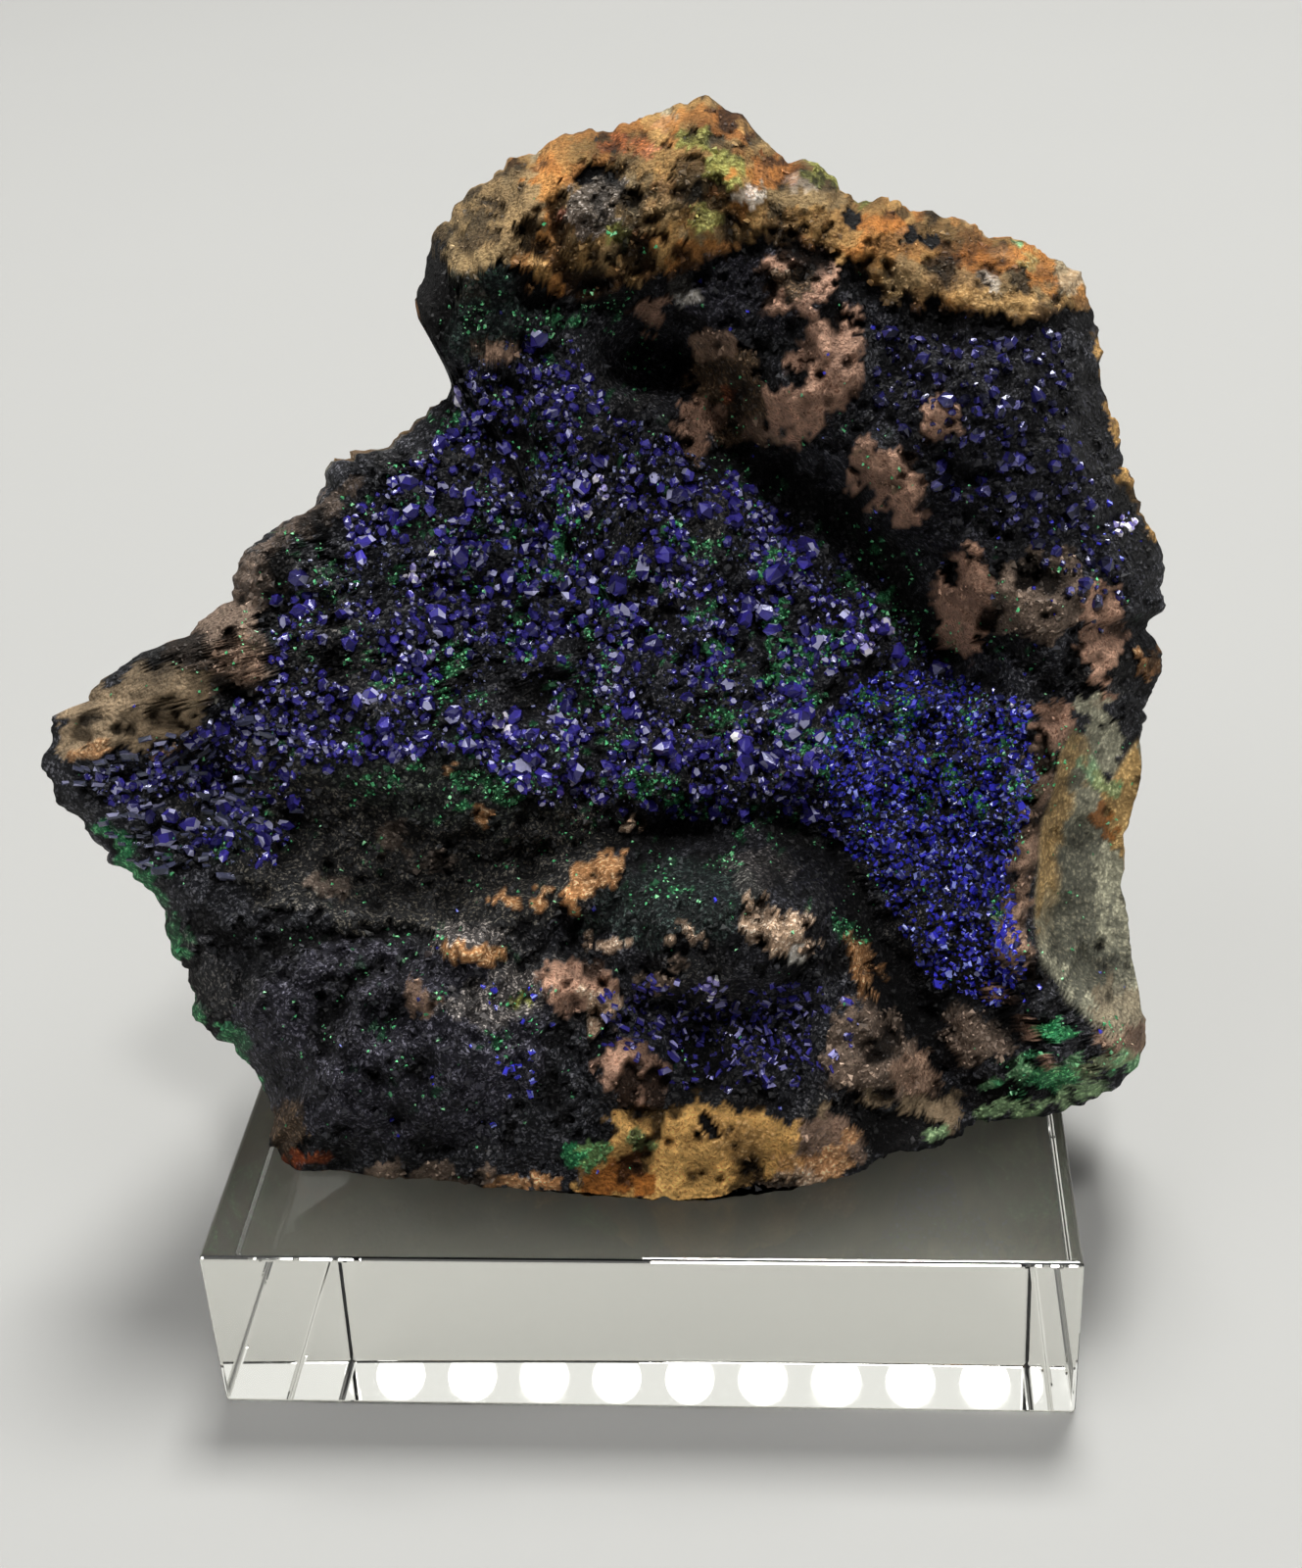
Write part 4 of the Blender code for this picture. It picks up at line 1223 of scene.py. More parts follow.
@dataclass(frozen=True)
class Grain:
    """Fine relief of the minerals, from crags down to single grains, with painted shade in its hollows."""

    crag: float = 0.95              # height of the crags on crumbling minerals
    bubble: float = 0.75            # height of the rounded clumps
    nodule: float = 0.9             # height of the largest rounded lumps
    shard: float = 1.1              # height between neighbouring broken faces
    hole_depth: float = 1.6
    pit_depth: float = 0.7
    # Painted shade: how far the hollows' colour is darkened.
    shadow: float = 0.9             # how dark the hollows' colour is
    mottle: float = 0.65            # lightness between broad light and dark parts
    crags: Noise = Noise(3.0, 501, 4)
    nodules: Noise = Noise(3.6, 581)
    coarse_clumps: Noise = Noise(1.9, 511)
    fine_clumps: Noise = Noise(0.8, 521)
    holes: Noise = Noise(2.3, 531)
    pits: Noise = Noise(1.3, 541)
    shards: Noise = Noise(2.6, 551)
    mottling: Noise = Noise(1.7, 571)

    def carve(self, points: Array, cover: Cover) -> Array:
        """Relief at some points; hollows also get painted shade in the cover's colours.

        Formula: sharp-crested noise, rounded clumps in three sizes and broken faces at different
        heights, less open holes where coarse noise is high and pits at scattered points.

        Args:
            points: world points.
            cover: what is there; its tints are changed, with painted shade in the hollows.

        Returns:
            The relief.
        """
        crags = self.crags.ridged(points)
        nodules = self.nodules.bubbles(points) - 0.66
        clumps = self.coarse_clumps.bubbles(points) * 0.55
        clumps = clumps + self.fine_clumps.bubbles(points) * 0.45 - 0.62
        bend = np.column_stack([Noise(1.2, 561 + axis).smooth(points) for axis in range(3)])
        _, shards, _ = self.shards.cells(points + 0.5 * bend)
        crumble, open_share = cover.part("crumble"), cover.part("pits")
        holes = smooth_step(0.30, 0.42, self.holes.fractal(points))
        holes = holes * np.clip(open_share * 1.6, 0.0, 1.0)
        pit_distance, chance, _ = self.pits.cells(points)
        pits = smooth_step(0.32, 0.2, pit_distance) * (chance < open_share * 0.6)
        # How much painted shade each place gets: low between clumps and crags, in holes and in pits.
        low = np.clip(0.22 - 1.1 * clumps - 0.5 * crags - 0.9 * nodules, 0.0, 1.0)
        low = low * np.clip(crumble, 0.0, 1.0)
        painted_hollow_shade = np.clip(low * 1.5 + holes + 0.8 * pits, 0.0, 1.0)
        rough = np.clip(crumble - 0.5, 0.0, 1.0)
        mottle = 1.0 + self.mottle * self.mottling.fractal(points)
        lumps = crumble * (self.crag * crags + self.bubble * clumps + self.nodule * nodules)
        lumps += self.shard * rough * (shards - 0.5)
        cover.shade((1.0 - self.shadow * painted_hollow_shade) * (mottle * (1.0 + 0.7 * rough * (shards - 0.5))))
        return lumps + cover.part("raised") - self.hole_depth * holes - self.pit_depth * pits


# ---- finishes

class Finish:
    """A material: values that hold all over it, and patterns linked to its shader."""

    name: str

    def fixed(self) -> dict[str, Any]:
        """Values that hold all over, by the shader's input."""
        return {}

    def patterns(self, graph: Graph) -> dict[str, Any]:
        """Sockets and numbers that vary, by the shader's input."""
        raise NotImplementedError

    def make(self) -> bpy.types.Material:
        """Build the material.

        Returns:
            The material.
        """
        made = bpy.data.materials.new(self.name)
        made.use_nodes = True
        shader = made.node_tree.nodes["Principled BSDF"]
        for key, value in self.fixed().items():
            shader.inputs[key].default_value = value
        for key, value in self.patterns(Graph(made.node_tree)).items():
            made.node_tree.links.new(getattr(value, "socket", value), shader.inputs[key])
        return made


@dataclass(frozen=True)
class StoneFinish(Finish):
    """The rock's material: mineral colours kept on the mesh, flecked, grainy, and pitted with holes painted
    dark as shade.
    """

    name: str = "limonite rock"
    fleck_size: float = 0.42
    speck_size: float = 0.16
    bump_depth: float = 0.48
    lift: float = 1.28               # lightness of all its colours
    # Near black: painted shade in the holes.
    painted_hole_shade: Colour = (0.006, 0.005, 0.005)
    reflection: float = 0.2

    def fixed(self) -> dict[str, Any]:
        """A dull shine."""
        return {"Specular IOR Level": self.reflection}

    def patterns(self, graph: Graph) -> dict[str, Any]:
        """Mineral colours with flecks in them, holes painted dark as shade, and grain.

        Args:
            graph: the material's nodes.

        Returns:
            Values for the surface's sockets.
        """
        coarse = graph.noise(self.fleck_size * 3.0, 6.0, 0.7)
        flecks = graph.noise(self.fleck_size, 5.0, 0.7)
        specks = graph.noise(self.speck_size, 3.0, 0.65)
        grains = graph.grains(self.speck_size * 1.9)
        crumble, pits = graph.number("crumble"), graph.number("pits")
        spots = (flecks * 0.6 + specks * 0.6 - 0.25 * grains).step(0.50, 0.58)
        colour = graph.mixed(graph.colour("tint"), graph.colour("fleck"), spots)
        shade = (2.0 * flecks) * (0.6 + 0.8 * specks) * (1.25 - 0.6 * grains)
        colour = graph.scaled(colour, shade * self.lift)
        # Holes painted near black: painted shade where the bump sinks.
        holes = (coarse + 0.2 * pits + 0.1 * specks).step(0.84, 0.91)
        colour = graph.mixed(colour, rgba(self.painted_hole_shade), holes * 0.85)
        height = coarse * 1.6 + flecks * 0.9 + specks * 0.5 - grains * 0.7 - holes * 0.8
        return {
            "Base Color": colour, "Roughness": graph.number("gloss") + 0.25 * (specks - 0.5),
            "Normal": graph.bumps(height * crumble, self.bump_depth),
        }


@dataclass(frozen=True)
class CrystalFinish(Finish):
    """Azurite: deep blue facets, each with its own tint, some painted dark as shade and some pale as
    highlight, glossy and faintly scratched.
    """

    name: str
    roughness: float = 0.10
    refraction: float = 1.7
    reflection: Colour = (0.72, 0.74, 1.0)

    def fixed(self) -> dict[str, Any]:
        """A strong, bluish shine."""
        return {"IOR": self.refraction, "Specular Tint": rgba(self.reflection)}

    def patterns(self, graph: Graph) -> dict[str, Any]:
        """Cloudy facets with fine scratches."""
        cloud, fine = graph.noise(0.5, 3.0), graph.noise(0.09, 2.0)
        return {
            "Base Color": graph.scaled(graph.colour("tint"), 0.64 + 1.05 * cloud),
            "Roughness": self.roughness + 0.22 * fine * cloud, "Normal": graph.bumps(fine, 0.012),
        }


@dataclass(frozen=True)
class GrainFinish(Finish):
    """Small grains, each with its own tint, their facets painted darker as shade or paler as highlight,
    dull or silky.
    """

    name: str
    roughness: float

    def patterns(self, graph: Graph) -> dict[str, Any]:
        """Mottled, rough grains."""
        fine = graph.noise(0.12, 4.0, 0.65)
        return {
            "Base Color": graph.scaled(graph.colour("tint"), 0.47 + 1.4 * fine),
            "Roughness": self.roughness + 0.2 * (fine - 0.5), "Normal": graph.bumps(fine, 0.05),
        }


@dataclass(frozen=True)
class AcrylicFinish(Finish):
    """Clear acrylic with polished faces that carry a few faint smears."""

    name: str = "clear acrylic"
    refraction: float = 1.49
    tint: Colour = (1.0, 1.0, 0.935)
    dusty: Colour = (0.90, 0.93, 0.91)

    def fixed(self) -> dict[str, Any]:
        """Light passes through."""
        return {"Transmission Weight": 1.0, "IOR": self.refraction}

    def patterns(self, graph: Graph) -> dict[str, Any]:
        """Smears and specks of dust."""
        smears = graph.noise(9.0, 4.0).step(0.5, 0.75)
        dust = graph.noise(0.35, 1.0).step(0.70, 0.78)
        return {
            "Base Color": graph.mixed(rgba(self.tint), rgba(self.dusty), dust * 0.4),
            "Roughness": smears * 0.03 + dust * 0.08 + 0.004,
        }


@dataclass(frozen=True)
class PaperFinish(Finish):
    """Pale matt card for the floor."""

    name: str = "pale card"
    tint: Colour = (0.35, 0.35, 0.342)

    def patterns(self, graph: Graph) -> dict[str, Any]:
        """A faint cloudiness."""
        cloud = graph.noise(60.0, 3.0)
        colour = graph.scaled(self.tint, 0.985 + 0.03 * cloud)
        return {"Base Color": colour, "Roughness": 0.75 + 0.1 * cloud}


# ---- sub-assemblies

@dataclass
class Rock:
    """The limonite rock as one closed surface."""

    form: RockForm
    minerals: MineralMap
    grain: Grain = Grain()
    side: int = 262                 # squares along a side of the face's grid
    steepness: float = 0.25         # share of the relief that the patterns follow
    spread: float = 1.0             # above 0: the face's grid is denser at the outline
    rings: tuple[tuple[int, int], ...] = ((1, 4), (2, 18), (4, 30), (8, 12))    # thinning, count
    face_swing: float = 0.32        # up to it, rings behind the outline take the face's minerals
    swap_swing: tuple[float, float] = (0.04, 0.3)   # where they give way to the back's

    def surface(self, across: Array, up: Array) -> tuple[Array, Cover]:
        """The face with all its relief and its minerals, with painted shade in the hollows.

        Its patterns are taken from points near the flat frame, so steep places smear them less.

        Args:
            across: places across the face.
            up: places up the face.

        Returns:
            World points, and the cover at each.
        """
        flat = self.form.face.place(across, up, np.zeros(len(across)))
        sample = flat + self.steepness * (self.form.front(across, up) - flat)
        cover = self.minerals.front(sample, across, up)
        return self.form.front(across, up, self.grain.carve(sample, cover)), cover

    def face_grid(self) -> tuple[Array, Array]:
        """Polar places of a square grid wrapped onto a disc.

        Formula: a grid point's larger coordinate is its radius, and the smaller one over it is
        its share of an eighth of a turn. The sine of the radius draws the rings to the edge.

        Returns:
            The share of the way to the outline, and the angle, at each grid point.
        """
        steps = np.linspace(-1.0, 1.0, self.side + 1)
        u, v = np.meshgrid(steps, steps, indexing="xy")
        u, v = u.ravel(), v.ravel()
        wide = np.abs(u) > np.abs(v)
        with np.errstate(divide="ignore", invalid="ignore"):
            turn = np.where(wide, v / u, u / v)
        turn = np.nan_to_num(turn)
        radius = np.where(wide, u, v)
        angle = np.where(wide, math.pi / 4.0 * turn, math.pi / 2.0 - math.pi / 4.0 * turn)
        x, y = radius * np.cos(angle), radius * np.sin(angle)
        out = np.sin(self.spread * np.hypot(x, y)) / math.sin(self.spread)
        return out, np.arctan2(y, x)

    def face_triangles(self) -> Array:
        """Two triangles for each square of the grid, wound to face outward."""
        row = self.side + 1
        corner = (np.arange(self.side)[:, None] * row + np.arange(self.side)).ravel()
        a, b, c, d = corner, corner + 1, corner + row + 1, corner + row
        return np.concatenate((np.column_stack((a, b, c)), np.column_stack((a, c, d))))

    def outline_loop(self) -> Array:
        """Numbers of the grid's edge points, anticlockwise."""
        n, row = self.side, self.side + 1
        along = np.arange(n)
        return np.concatenate((
            along, n + along * row, n * row + n - along, (n - along) * row,
        ))

    def build(self) -> bpy.types.Object:
        """Make the mesh: the face's grid, and rings behind it that thin out and close in a point.

        Returns:
            The rock's object.
        """
        out, angle = self.face_grid()
        across = self.form.centre[0] + out * self.form.radius(angle) * np.cos(angle)
        up = self.form.centre[1] + out * self.form.radius(angle) * np.sin(angle)
        face, cover = self.surface(across, up)
        points, covers = [face], [cover]
        triangles = [self.face_triangles()]

        loop = self.outline_loop()
        loop_angle = angle[loop]
        total = sum(count for _, count in self.rings)
        start, done = len(across), 0
        for thinning, count in self.rings:
            for _ in range(count):
                done += 1
                step = 2 if len(loop) > len(self.outline_loop()) // thinning else 1
                loop_angle = loop_angle[::step]
                swing = np.full(len(loop_angle), (done / (total + 1)) * math.pi / 2.0)
                bare = self.form.back(swing, loop_angle)
                ring_cover = self.ring_cover(bare, swing)
                points.append(self.form.back(swing, loop_angle, self.grain.carve(bare, ring_cover)))
                covers.append(ring_cover)
                ring = start + np.arange(len(loop_angle))
                triangles.append(self.band(loop, ring, step))
                loop, start = ring, start + len(ring)
        pole = self.form.back(np.array([math.pi / 2.0]), np.array([0.0]))
        points.append(pole)
        covers.append(self.minerals.back(pole))
        after = np.roll(loop, -1)
        triangles.append(np.column_stack((loop, np.full(len(loop), start), after)))

        made = mesh_object(
            "matrix_rock_surface", np.concatenate(points), np.concatenate(triangles),
            StoneFinish().make(), smooth=True,
        )
        whole = Cover(np.concatenate([cover.rows for cover in covers]))
        for name in ("tint", "fleck", "crumble", "pits", "gloss"):
            store(made, name, "POINT", whole.part(name))
        return made

    def ring_cover(self, points: Array, swing: Array) -> Cover:
        """Minerals of a ring behind the outline: the face's near it, the back's further on.

        Args:
            points: the ring's points.
            swing: how far behind the outline each is, as an angle.

        Returns:
            The cover at each point.
        """
        back = self.minerals.back(points)
        if swing[0] > self.face_swing:
            return back
        offset = points - self.form.face.fan_point()
        axis_across, axis_up, inward = self.form.face.axes()
        depth = offset @ inward / self.form.face.fan_distance
        across, up = offset @ axis_across / depth, offset @ axis_up / depth
        flat = self.form.face.place(across, up, np.zeros(len(across)))
        front = self.minerals.front(flat + self.steepness * (points - flat), across, up)
        share = smooth_step(*self.swap_swing, swing + 0.08 * Noise(2.0, 601).fractal(points))
        front.blend(back.rows, share)
        return front

    def band(self, outer: Array, inner: Array, step: int) -> Array:
        """Triangles between a ring and the next.

        Args:
            outer: corner numbers of the first ring.
            inner: corner numbers of the next.
            step: 1 where both have as many corners, 2 where the next has half as many.

        Returns:
            Corner numbers, three to a row.
        """
        if step == 1:
            return strip(outer, inner)
        next_inner = np.roll(inner, -1)
        first, middle, last = outer[::2], outer[1::2], np.roll(outer[::2], -1)
        return np.concatenate((
            np.column_stack((first, inner, middle)),
            np.column_stack((middle, inner, next_inner)),
            np.column_stack((middle, next_inner, last)),
        ))


@dataclass(frozen=True)
class Habit:
    """A crystal's or grain's shape: unit corners, its triangles, and each triangle's facet."""

    corners: Array
    triangles: Array
    facets: Array


def prism_habit(taper: float, height: float) -> Habit:
    """A six-sided prism with a cut-back top (32 triangles).

    Args:
        taper: width of the top facet as a share of the prism's.
        height: height of the top facet in widths.

    Returns:
        The habit: six sides, six slanting facets round the top, the top and the base.
    """
    angle = np.arange(6) * math.pi / 3.0
    ring = np.column_stack((0.5 * np.cos(angle), 0.44 * np.sin(angle)))
    corners = np.vstack([
        np.column_stack((ring * size, np.full(6, level)))
        for size, level in ((0.85, -0.45), (1.0, height - 0.32), (taper, height))
    ])
    sides, facets = [], []
    for level in range(2):
        for i in range(6):
            a, b = 6 * level + i, 6 * level + (i + 1) % 6
            sides += [(a, b, b + 6), (a, b + 6, a + 6)]
            facets += [6 * level + i] * 2
    top = [(12, 12 + i, 13 + i) for i in range(1, 5)]
    base = [(0, i + 1, i) for i in range(1, 5)]
    return Habit(corners, np.array(sides + top + base), np.array(facets + [12] * 4 + [13] * 4))


def block_habit() -> Habit:
    """A four-sided prism with a slanting top and one cut edge (16 triangles).

    Returns:
        The habit.
    """
    corners = np.array((
        (-0.45, -0.36, -0.45), (0.45, -0.36, -0.45), (0.45, 0.36, -0.45), (-0.45, 0.36, -0.45),
        (-0.48, -0.38, 0.34), (0.48, -0.38, 0.20), (0.48, 0.38, 0.42), (-0.48, 0.38, 0.56),
        (-0.28, -0.14, 0.62), (0.26, -0.14, 0.50),
    ))
    triangles = [
        (0, 1, 5), (0, 5, 4), (1, 2, 6), (1, 6, 5), (2, 3, 7), (2, 7, 6), (3, 0, 4), (3, 4, 7),
        (4, 5, 9), (4, 9, 8), (5, 6, 9), (6, 7, 8), (6, 8, 9), (7, 4, 8), (0, 2, 1), (0, 3, 2),
    ]
    facets = [0, 0, 1, 1, 2, 2, 3, 3, 4, 4, 5, 6, 6, 7, 8, 8]
    return Habit(corners, np.array(triangles), np.array(facets))


def bead_habit() -> Habit:
    """A skewed octahedron (8 triangles).

    Returns:
        The habit.
    """
    corners = np.array((
        (0.5, 0.05, 0.02), (-0.5, -0.04, 0.0), (0.06, 0.45, 0.05), (-0.03, -0.45, -0.04),
        (0.08, 0.03, 0.5), (0.0, 0.0, -0.45),
    ))
    triangles = [
        (0, 2, 4), (2, 1, 4), (1, 3, 4), (3, 0, 4), (2, 0, 5), (1, 2, 5), (3, 1, 5), (0, 3, 5),
    ]
    return Habit(corners, np.array(triangles), np.arange(8))


@dataclass(frozen=True)
class Palette:
    """Colours of a crystal's facets, dark ones for painted shade and pale ones for painted highlight, and
    the share of facets that has each.
    """

    # The first colour is painted shade, the last painted highlight.
    deep: Colour
    body: Colour
    painted_highlight: Colour
    body_share: float = 0.42
    painted_highlight_share: float = 0.14

    def facets(self, chance: np.random.Generator, shape: tuple[int, int], shift: Array) -> Array:
        """A colour for each facet of each crystal: painted shade, the body's colour or painted highlight.

        Args:
            chance: the source of random numbers.
            shape: crystals, and facets of each.
            shift: lightness of each crystal, about 1.

        Returns:
            Colours as an array of crystals by facets by three.
        """
        drawn = chance.random(shape)
        plain = np.where(drawn < self.painted_highlight_share + self.body_share, 1, 0)
        level = np.where(drawn < self.painted_highlight_share, 2, plain)
        colour = np.array((self.deep, self.body, self.painted_highlight))[level]
        return colour * chance.uniform(0.65, 1.35, shape)[..., None] * shift[:, None, None]


class Azurite(Enum):
    """How blue a bed of azurite is."""

    INDIGO = Palette((0.016, 0.013, 0.090), (0.034, 0.026, 0.23), (0.37, 0.37, 0.57), 0.50, 0.165)
    ROYAL = Palette((0.024, 0.026, 0.110), (0.036, 0.034, 0.48), (0.25, 0.29, 0.74), 0.60, 0.16)
    SLATE = Palette((0.046, 0.051, 0.068), (0.056, 0.060, 0.110), (0.22, 0.22, 0.34), 0.42, 0.20)
    LILAC = Palette((0.014, 0.012, 0.062), (0.040, 0.034, 0.24), (0.24, 0.23, 0.46), 0.48, 0.16)
    HAZE = Palette((0.022, 0.025, 0.044), (0.040, 0.040, 0.135), (0.20, 0.22, 0.36), 0.46, 0.14)
    # Near-white facets: painted glints.
    BRIGHT = Palette((0.10, 0.08, 0.30), (0.36, 0.32, 0.64), (0.95, 0.90, 1.00), 0.40, 0.35)
    # A darker copy for the upper crust, which lies in shade: painted shade.
    NIGHT = Palette((0.006, 0.006, 0.015), (0.017, 0.015, 0.10), (0.09, 0.085, 0.21), 0.42, 0.11)


class Grains(Enum):
    """Colours of the other small grains."""

    MALACHITE = Palette((0.032, 0.17, 0.070), (0.10, 0.53, 0.21), (0.32, 0.78, 0.40), 0.5, 0.22)
    PLAIN = Palette((0.55, 0.55, 0.55), (0.95, 0.95, 0.95), (1.4, 1.4, 1.4), 0.5, 0.12)


@dataclass
class Bed:
    """Small crystals or grains scattered over a part of the face, as one mesh."""

    name: str
    habits: tuple[Habit, ...]
    border: Line
    spacing: float
    size: tuple[float, float]       # smallest and largest width
    height: tuple[float, float]     # height as a share of the width
    palette: Enum                   # an Azurite or Grains
    seed: int
    cover: float = 1.0              # share of the places that hold one
    clusters: tuple[float, float, float] = (3.0, -2.0, -1.0)    # cell, none below, all above
    spots: tuple[Oval, ...] = ()    # where given, the only places that hold any
    lean: float = 0.5               # how far axes tilt from the surface's normal
    skew: float = 0.05              # how far corners stray
    without: Line = ()              # a border inside which none stand
    slender: float = 1.0            # length of the first axis, in widths
    combed: float = 0.0             # share by which first axes run across the face
    greenest: float = 1.0           # how far the ground's green may pass its red
    furthest: float = 0.985         # reach above which none stand: the outline is at 1
    smallness: float = 1.8          # above 1: more of them are small

    def sites(self, form: RockForm, chance: np.random.Generator) -> tuple[Array, Array]:
        """Places on a jittered grid inside the border, thinned out by the bed's density.

        Args:
            form: the rock's form.
            chance: the source of random numbers.

        Returns:
            Places across the face, and up it.
        """
        border = np.array(self.border)
        low, high = border.min(axis=0), border.max(axis=0)
        count = np.ceil((high - low) / self.spacing).astype(int) + 1
        grid = np.stack(np.meshgrid(*(np.arange(n) for n in count), indexing="ij"), axis=-1)
        grid = grid.reshape(-1, 2)
        places = low + (grid + chance.uniform(-0.48, 0.48, grid.shape)) * self.spacing
        across, up = places.T
        reach, _ = form.reach(across, up)
        keep = (border_depth(across, up, self.border) > 0.0) & (reach < self.furthest)
        if self.without:
            keep &= border_depth(across, up, self.without) < 0.0
        keep &= chance.random(len(keep)) < self.cover * self.density(across, up)
        return across[keep], up[keep]

    def density(self, across: Array, up: Array) -> Array:
        """Share of the places that hold a crystal: clusters from noise, times the spots' sum.

        Args:
            across: places across the face.
            up: places up the face.

        Returns:
            The share at each place.
        """
        cell, none, full = self.clusters
        flat = np.column_stack((across, up, np.zeros(len(across))))
        thick = smooth_step(none, full, Noise(cell, self.seed + 900).fractal(flat))
        if not self.spots:
            return thick
        return np.clip(thick * sum(spot.relief(across, up) for spot in self.spots), 0.0, 1.0)

    def present(self, cover: Cover, chance: np.random.Generator) -> Array:
        """Which places hold one, by what they lie on: here those that aren't too green."""
        red, green, _ = cover.part("tint").T
        return green - red < self.greenest

    def colours(self, ground: Array, facets: Array) -> Array:
        """The facets' colours as they end up; a bed may tie them to the ground's."""
        return facets

    def frames(self, normals: Array, face: Face, chance: np.random.Generator) -> Array:
        """Axes for each crystal: the third near the normal, the first turned or combed.

        Args:
            normals: the surface's outward normals.
            face: the face's frame, across which combed axes run.
            chance: the source of random numbers.

        Returns:
            The three axes of each, as rows of a 3x3.
        """
        axis = normals + self.lean * chance.normal(0.0, 0.6, normals.shape)
        axis /= np.linalg.norm(axis, axis=1)[:, None]
        turn = (1.0 - self.combed) * chance.normal(0.0, 1.0, axis.shape) + self.combed * face.axes()[0]
        first = turn - axis * (turn * axis).sum(axis=1)[:, None]
        first /= np.linalg.norm(first, axis=1)[:, None]
        return np.stack((first, np.cross(axis, first), axis), axis=1)

    def build(self, rock: "Rock", finish: bpy.types.Material) -> bpy.types.Object:
        """Make the mesh: each habit's corners scaled, turned and set down at its sites.

        Args:
            rock: what the bed grows on.
            finish: its material.

        Returns:
            The object.
        """
        chance = np.random.default_rng(self.seed)
        across, up = self.sites(rock.form, chance)
        base, cover = rock.surface(across, up)
        keep = self.present(cover, chance)
        across, up, base, ground = across[keep], up[keep], base[keep], cover.part("tint")[keep]
        normals = rock.form.slope(across, up)
        frames = self.frames(normals, rock.form.face, chance)
        small, large = self.size
        width = small + (large - small) * chance.random(len(across)) ** self.smallness
        scale = np.column_stack((
            self.slender * width, width * chance.uniform(0.7, 1.05, len(width)),
            width * chance.uniform(*self.height, len(width)),
        ))
        shift = chance.uniform(0.6, 1.3, len(width))

        kind = chance.integers(0, len(self.habits), len(width))
        points, triangles, colours, start = [], [], [], 0
        for number, habit in enumerate(self.habits):
            chosen = kind == number
            strays = self.skew * chance.normal(0.0, 1.0, (int(chosen.sum()), *habit.corners.shape))
            local = (habit.corners + strays) * scale[chosen][:, None, :]
            world = base[chosen][:, None, :] + np.einsum("nvk,nkx->nvx", local, frames[chosen])
            count, corner_count = world.shape[:2]
            first = start + np.arange(count)[:, None, None] * corner_count
            triangles.append((habit.triangles[None] + first).reshape(-1, 3))
            points.append(world.reshape(-1, 3))
            facets = self.palette.value.facets(chance, (count, habit.facets.max() + 1), shift[chosen])
            facets = self.colours(ground[chosen], facets)
            colours.append(facets[:, habit.facets].reshape(-1, 3))
            start += count * corner_count
        points = np.concatenate(points)
        points[:, 2] = np.maximum(points[:, 2], rock.form.floor)
        made = mesh_object(self.name, points, np.concatenate(triangles), finish)
        store(made, "tint", "FACE", np.clip(np.concatenate(colours), 0.0, 1.0))
        return made


@dataclass
class Crumbs(Bed):
    """Grains that take the colour of what they lie on, and lie only where it crumbles."""

    smoothest: float = 0.7          # crumble below which there are none

    def present(self, cover: Cover, chance: np.random.Generator) -> Array:
        """Which places hold one: all where the ground crumbles, fewer towards smooth ground."""
        bright = smooth_step(0.1, 0.4, cover.part("tint")[:, 0])
        share = (cover.part("crumble") - self.smoothest) * 3.0 - 2.0 * bright
        return chance.random(len(share)) < share + 0.35

    def colours(self, ground: Array, facets: Array) -> Array:
        """The palette's lightness times the tint of the mineral below."""
        return facets * (ground * 1.3 + 0.004)[:, None, :]


@dataclass
class AcrylicBlock:
    """The square clear block with narrow rounded edges."""

    side: float = 50.0
    height: float = 11.3
    edge: float = 0.3
    corner_steps: int = 4
    edge_steps: int = 4

    def ring(self, inset: float, z: float) -> Array:
        """A square with rounded corners.

        Args:
            inset: how far inside the block's sides it lies.
            z: its height.

        Returns:
            Its points, anticlockwise.
        """
        half, radius = self.side / 2.0 - inset, max(self.edge - inset, 0.02)
        quarter = np.linspace(0.0, math.pi / 2.0, self.corner_steps + 1)
        rows = []
        for turn, (sign_x, sign_y) in enumerate(((1, 1), (-1, 1), (-1, -1), (1, -1))):
            angle = quarter + turn * math.pi / 2.0
            rows.append(np.column_stack((
                sign_x * (half - radius) + radius * np.cos(angle),
                sign_y * (half - radius) + radius * np.sin(angle),
                np.full(len(angle), z),
            )))
        return np.concatenate(rows)

    def build(self) -> bpy.types.Object:
        """Make the mesh: rings up the rounded profile, and a flat face at each end.

        Returns:
            The block's object.
        """
        quarter = np.linspace(0.0, math.pi / 2.0, self.edge_steps + 1)
        lower = [(self.edge * (1.0 - math.sin(t)), self.edge * (1.0 - math.cos(t))) for t in quarter]
        upper = [(inset, self.height - z) for inset, z in reversed(lower)]
        rings = [self.ring(inset, z) for inset, z in (*lower, *upper)]
        size = len(rings[0])
        points = np.concatenate(rings)
        index = np.arange(size)
        triangles = []
        for level in range(len(rings) - 1):
            a, b = level * size + index, level * size + np.roll(index, -1)
            triangles += [np.column_stack((a, b, b + size)), np.column_stack((a, b + size, a + size))]
        fan = np.arange(1, size - 1)
        top = (len(rings) - 1) * size
        triangles.append(np.column_stack((np.zeros(size - 2, int), fan + 1, fan)))
        triangles.append(np.column_stack((np.full(size - 2, top), top + fan, top + fan + 1)))
        return mesh_object("acrylic_block", points, np.concatenate(triangles), AcrylicFinish().make())


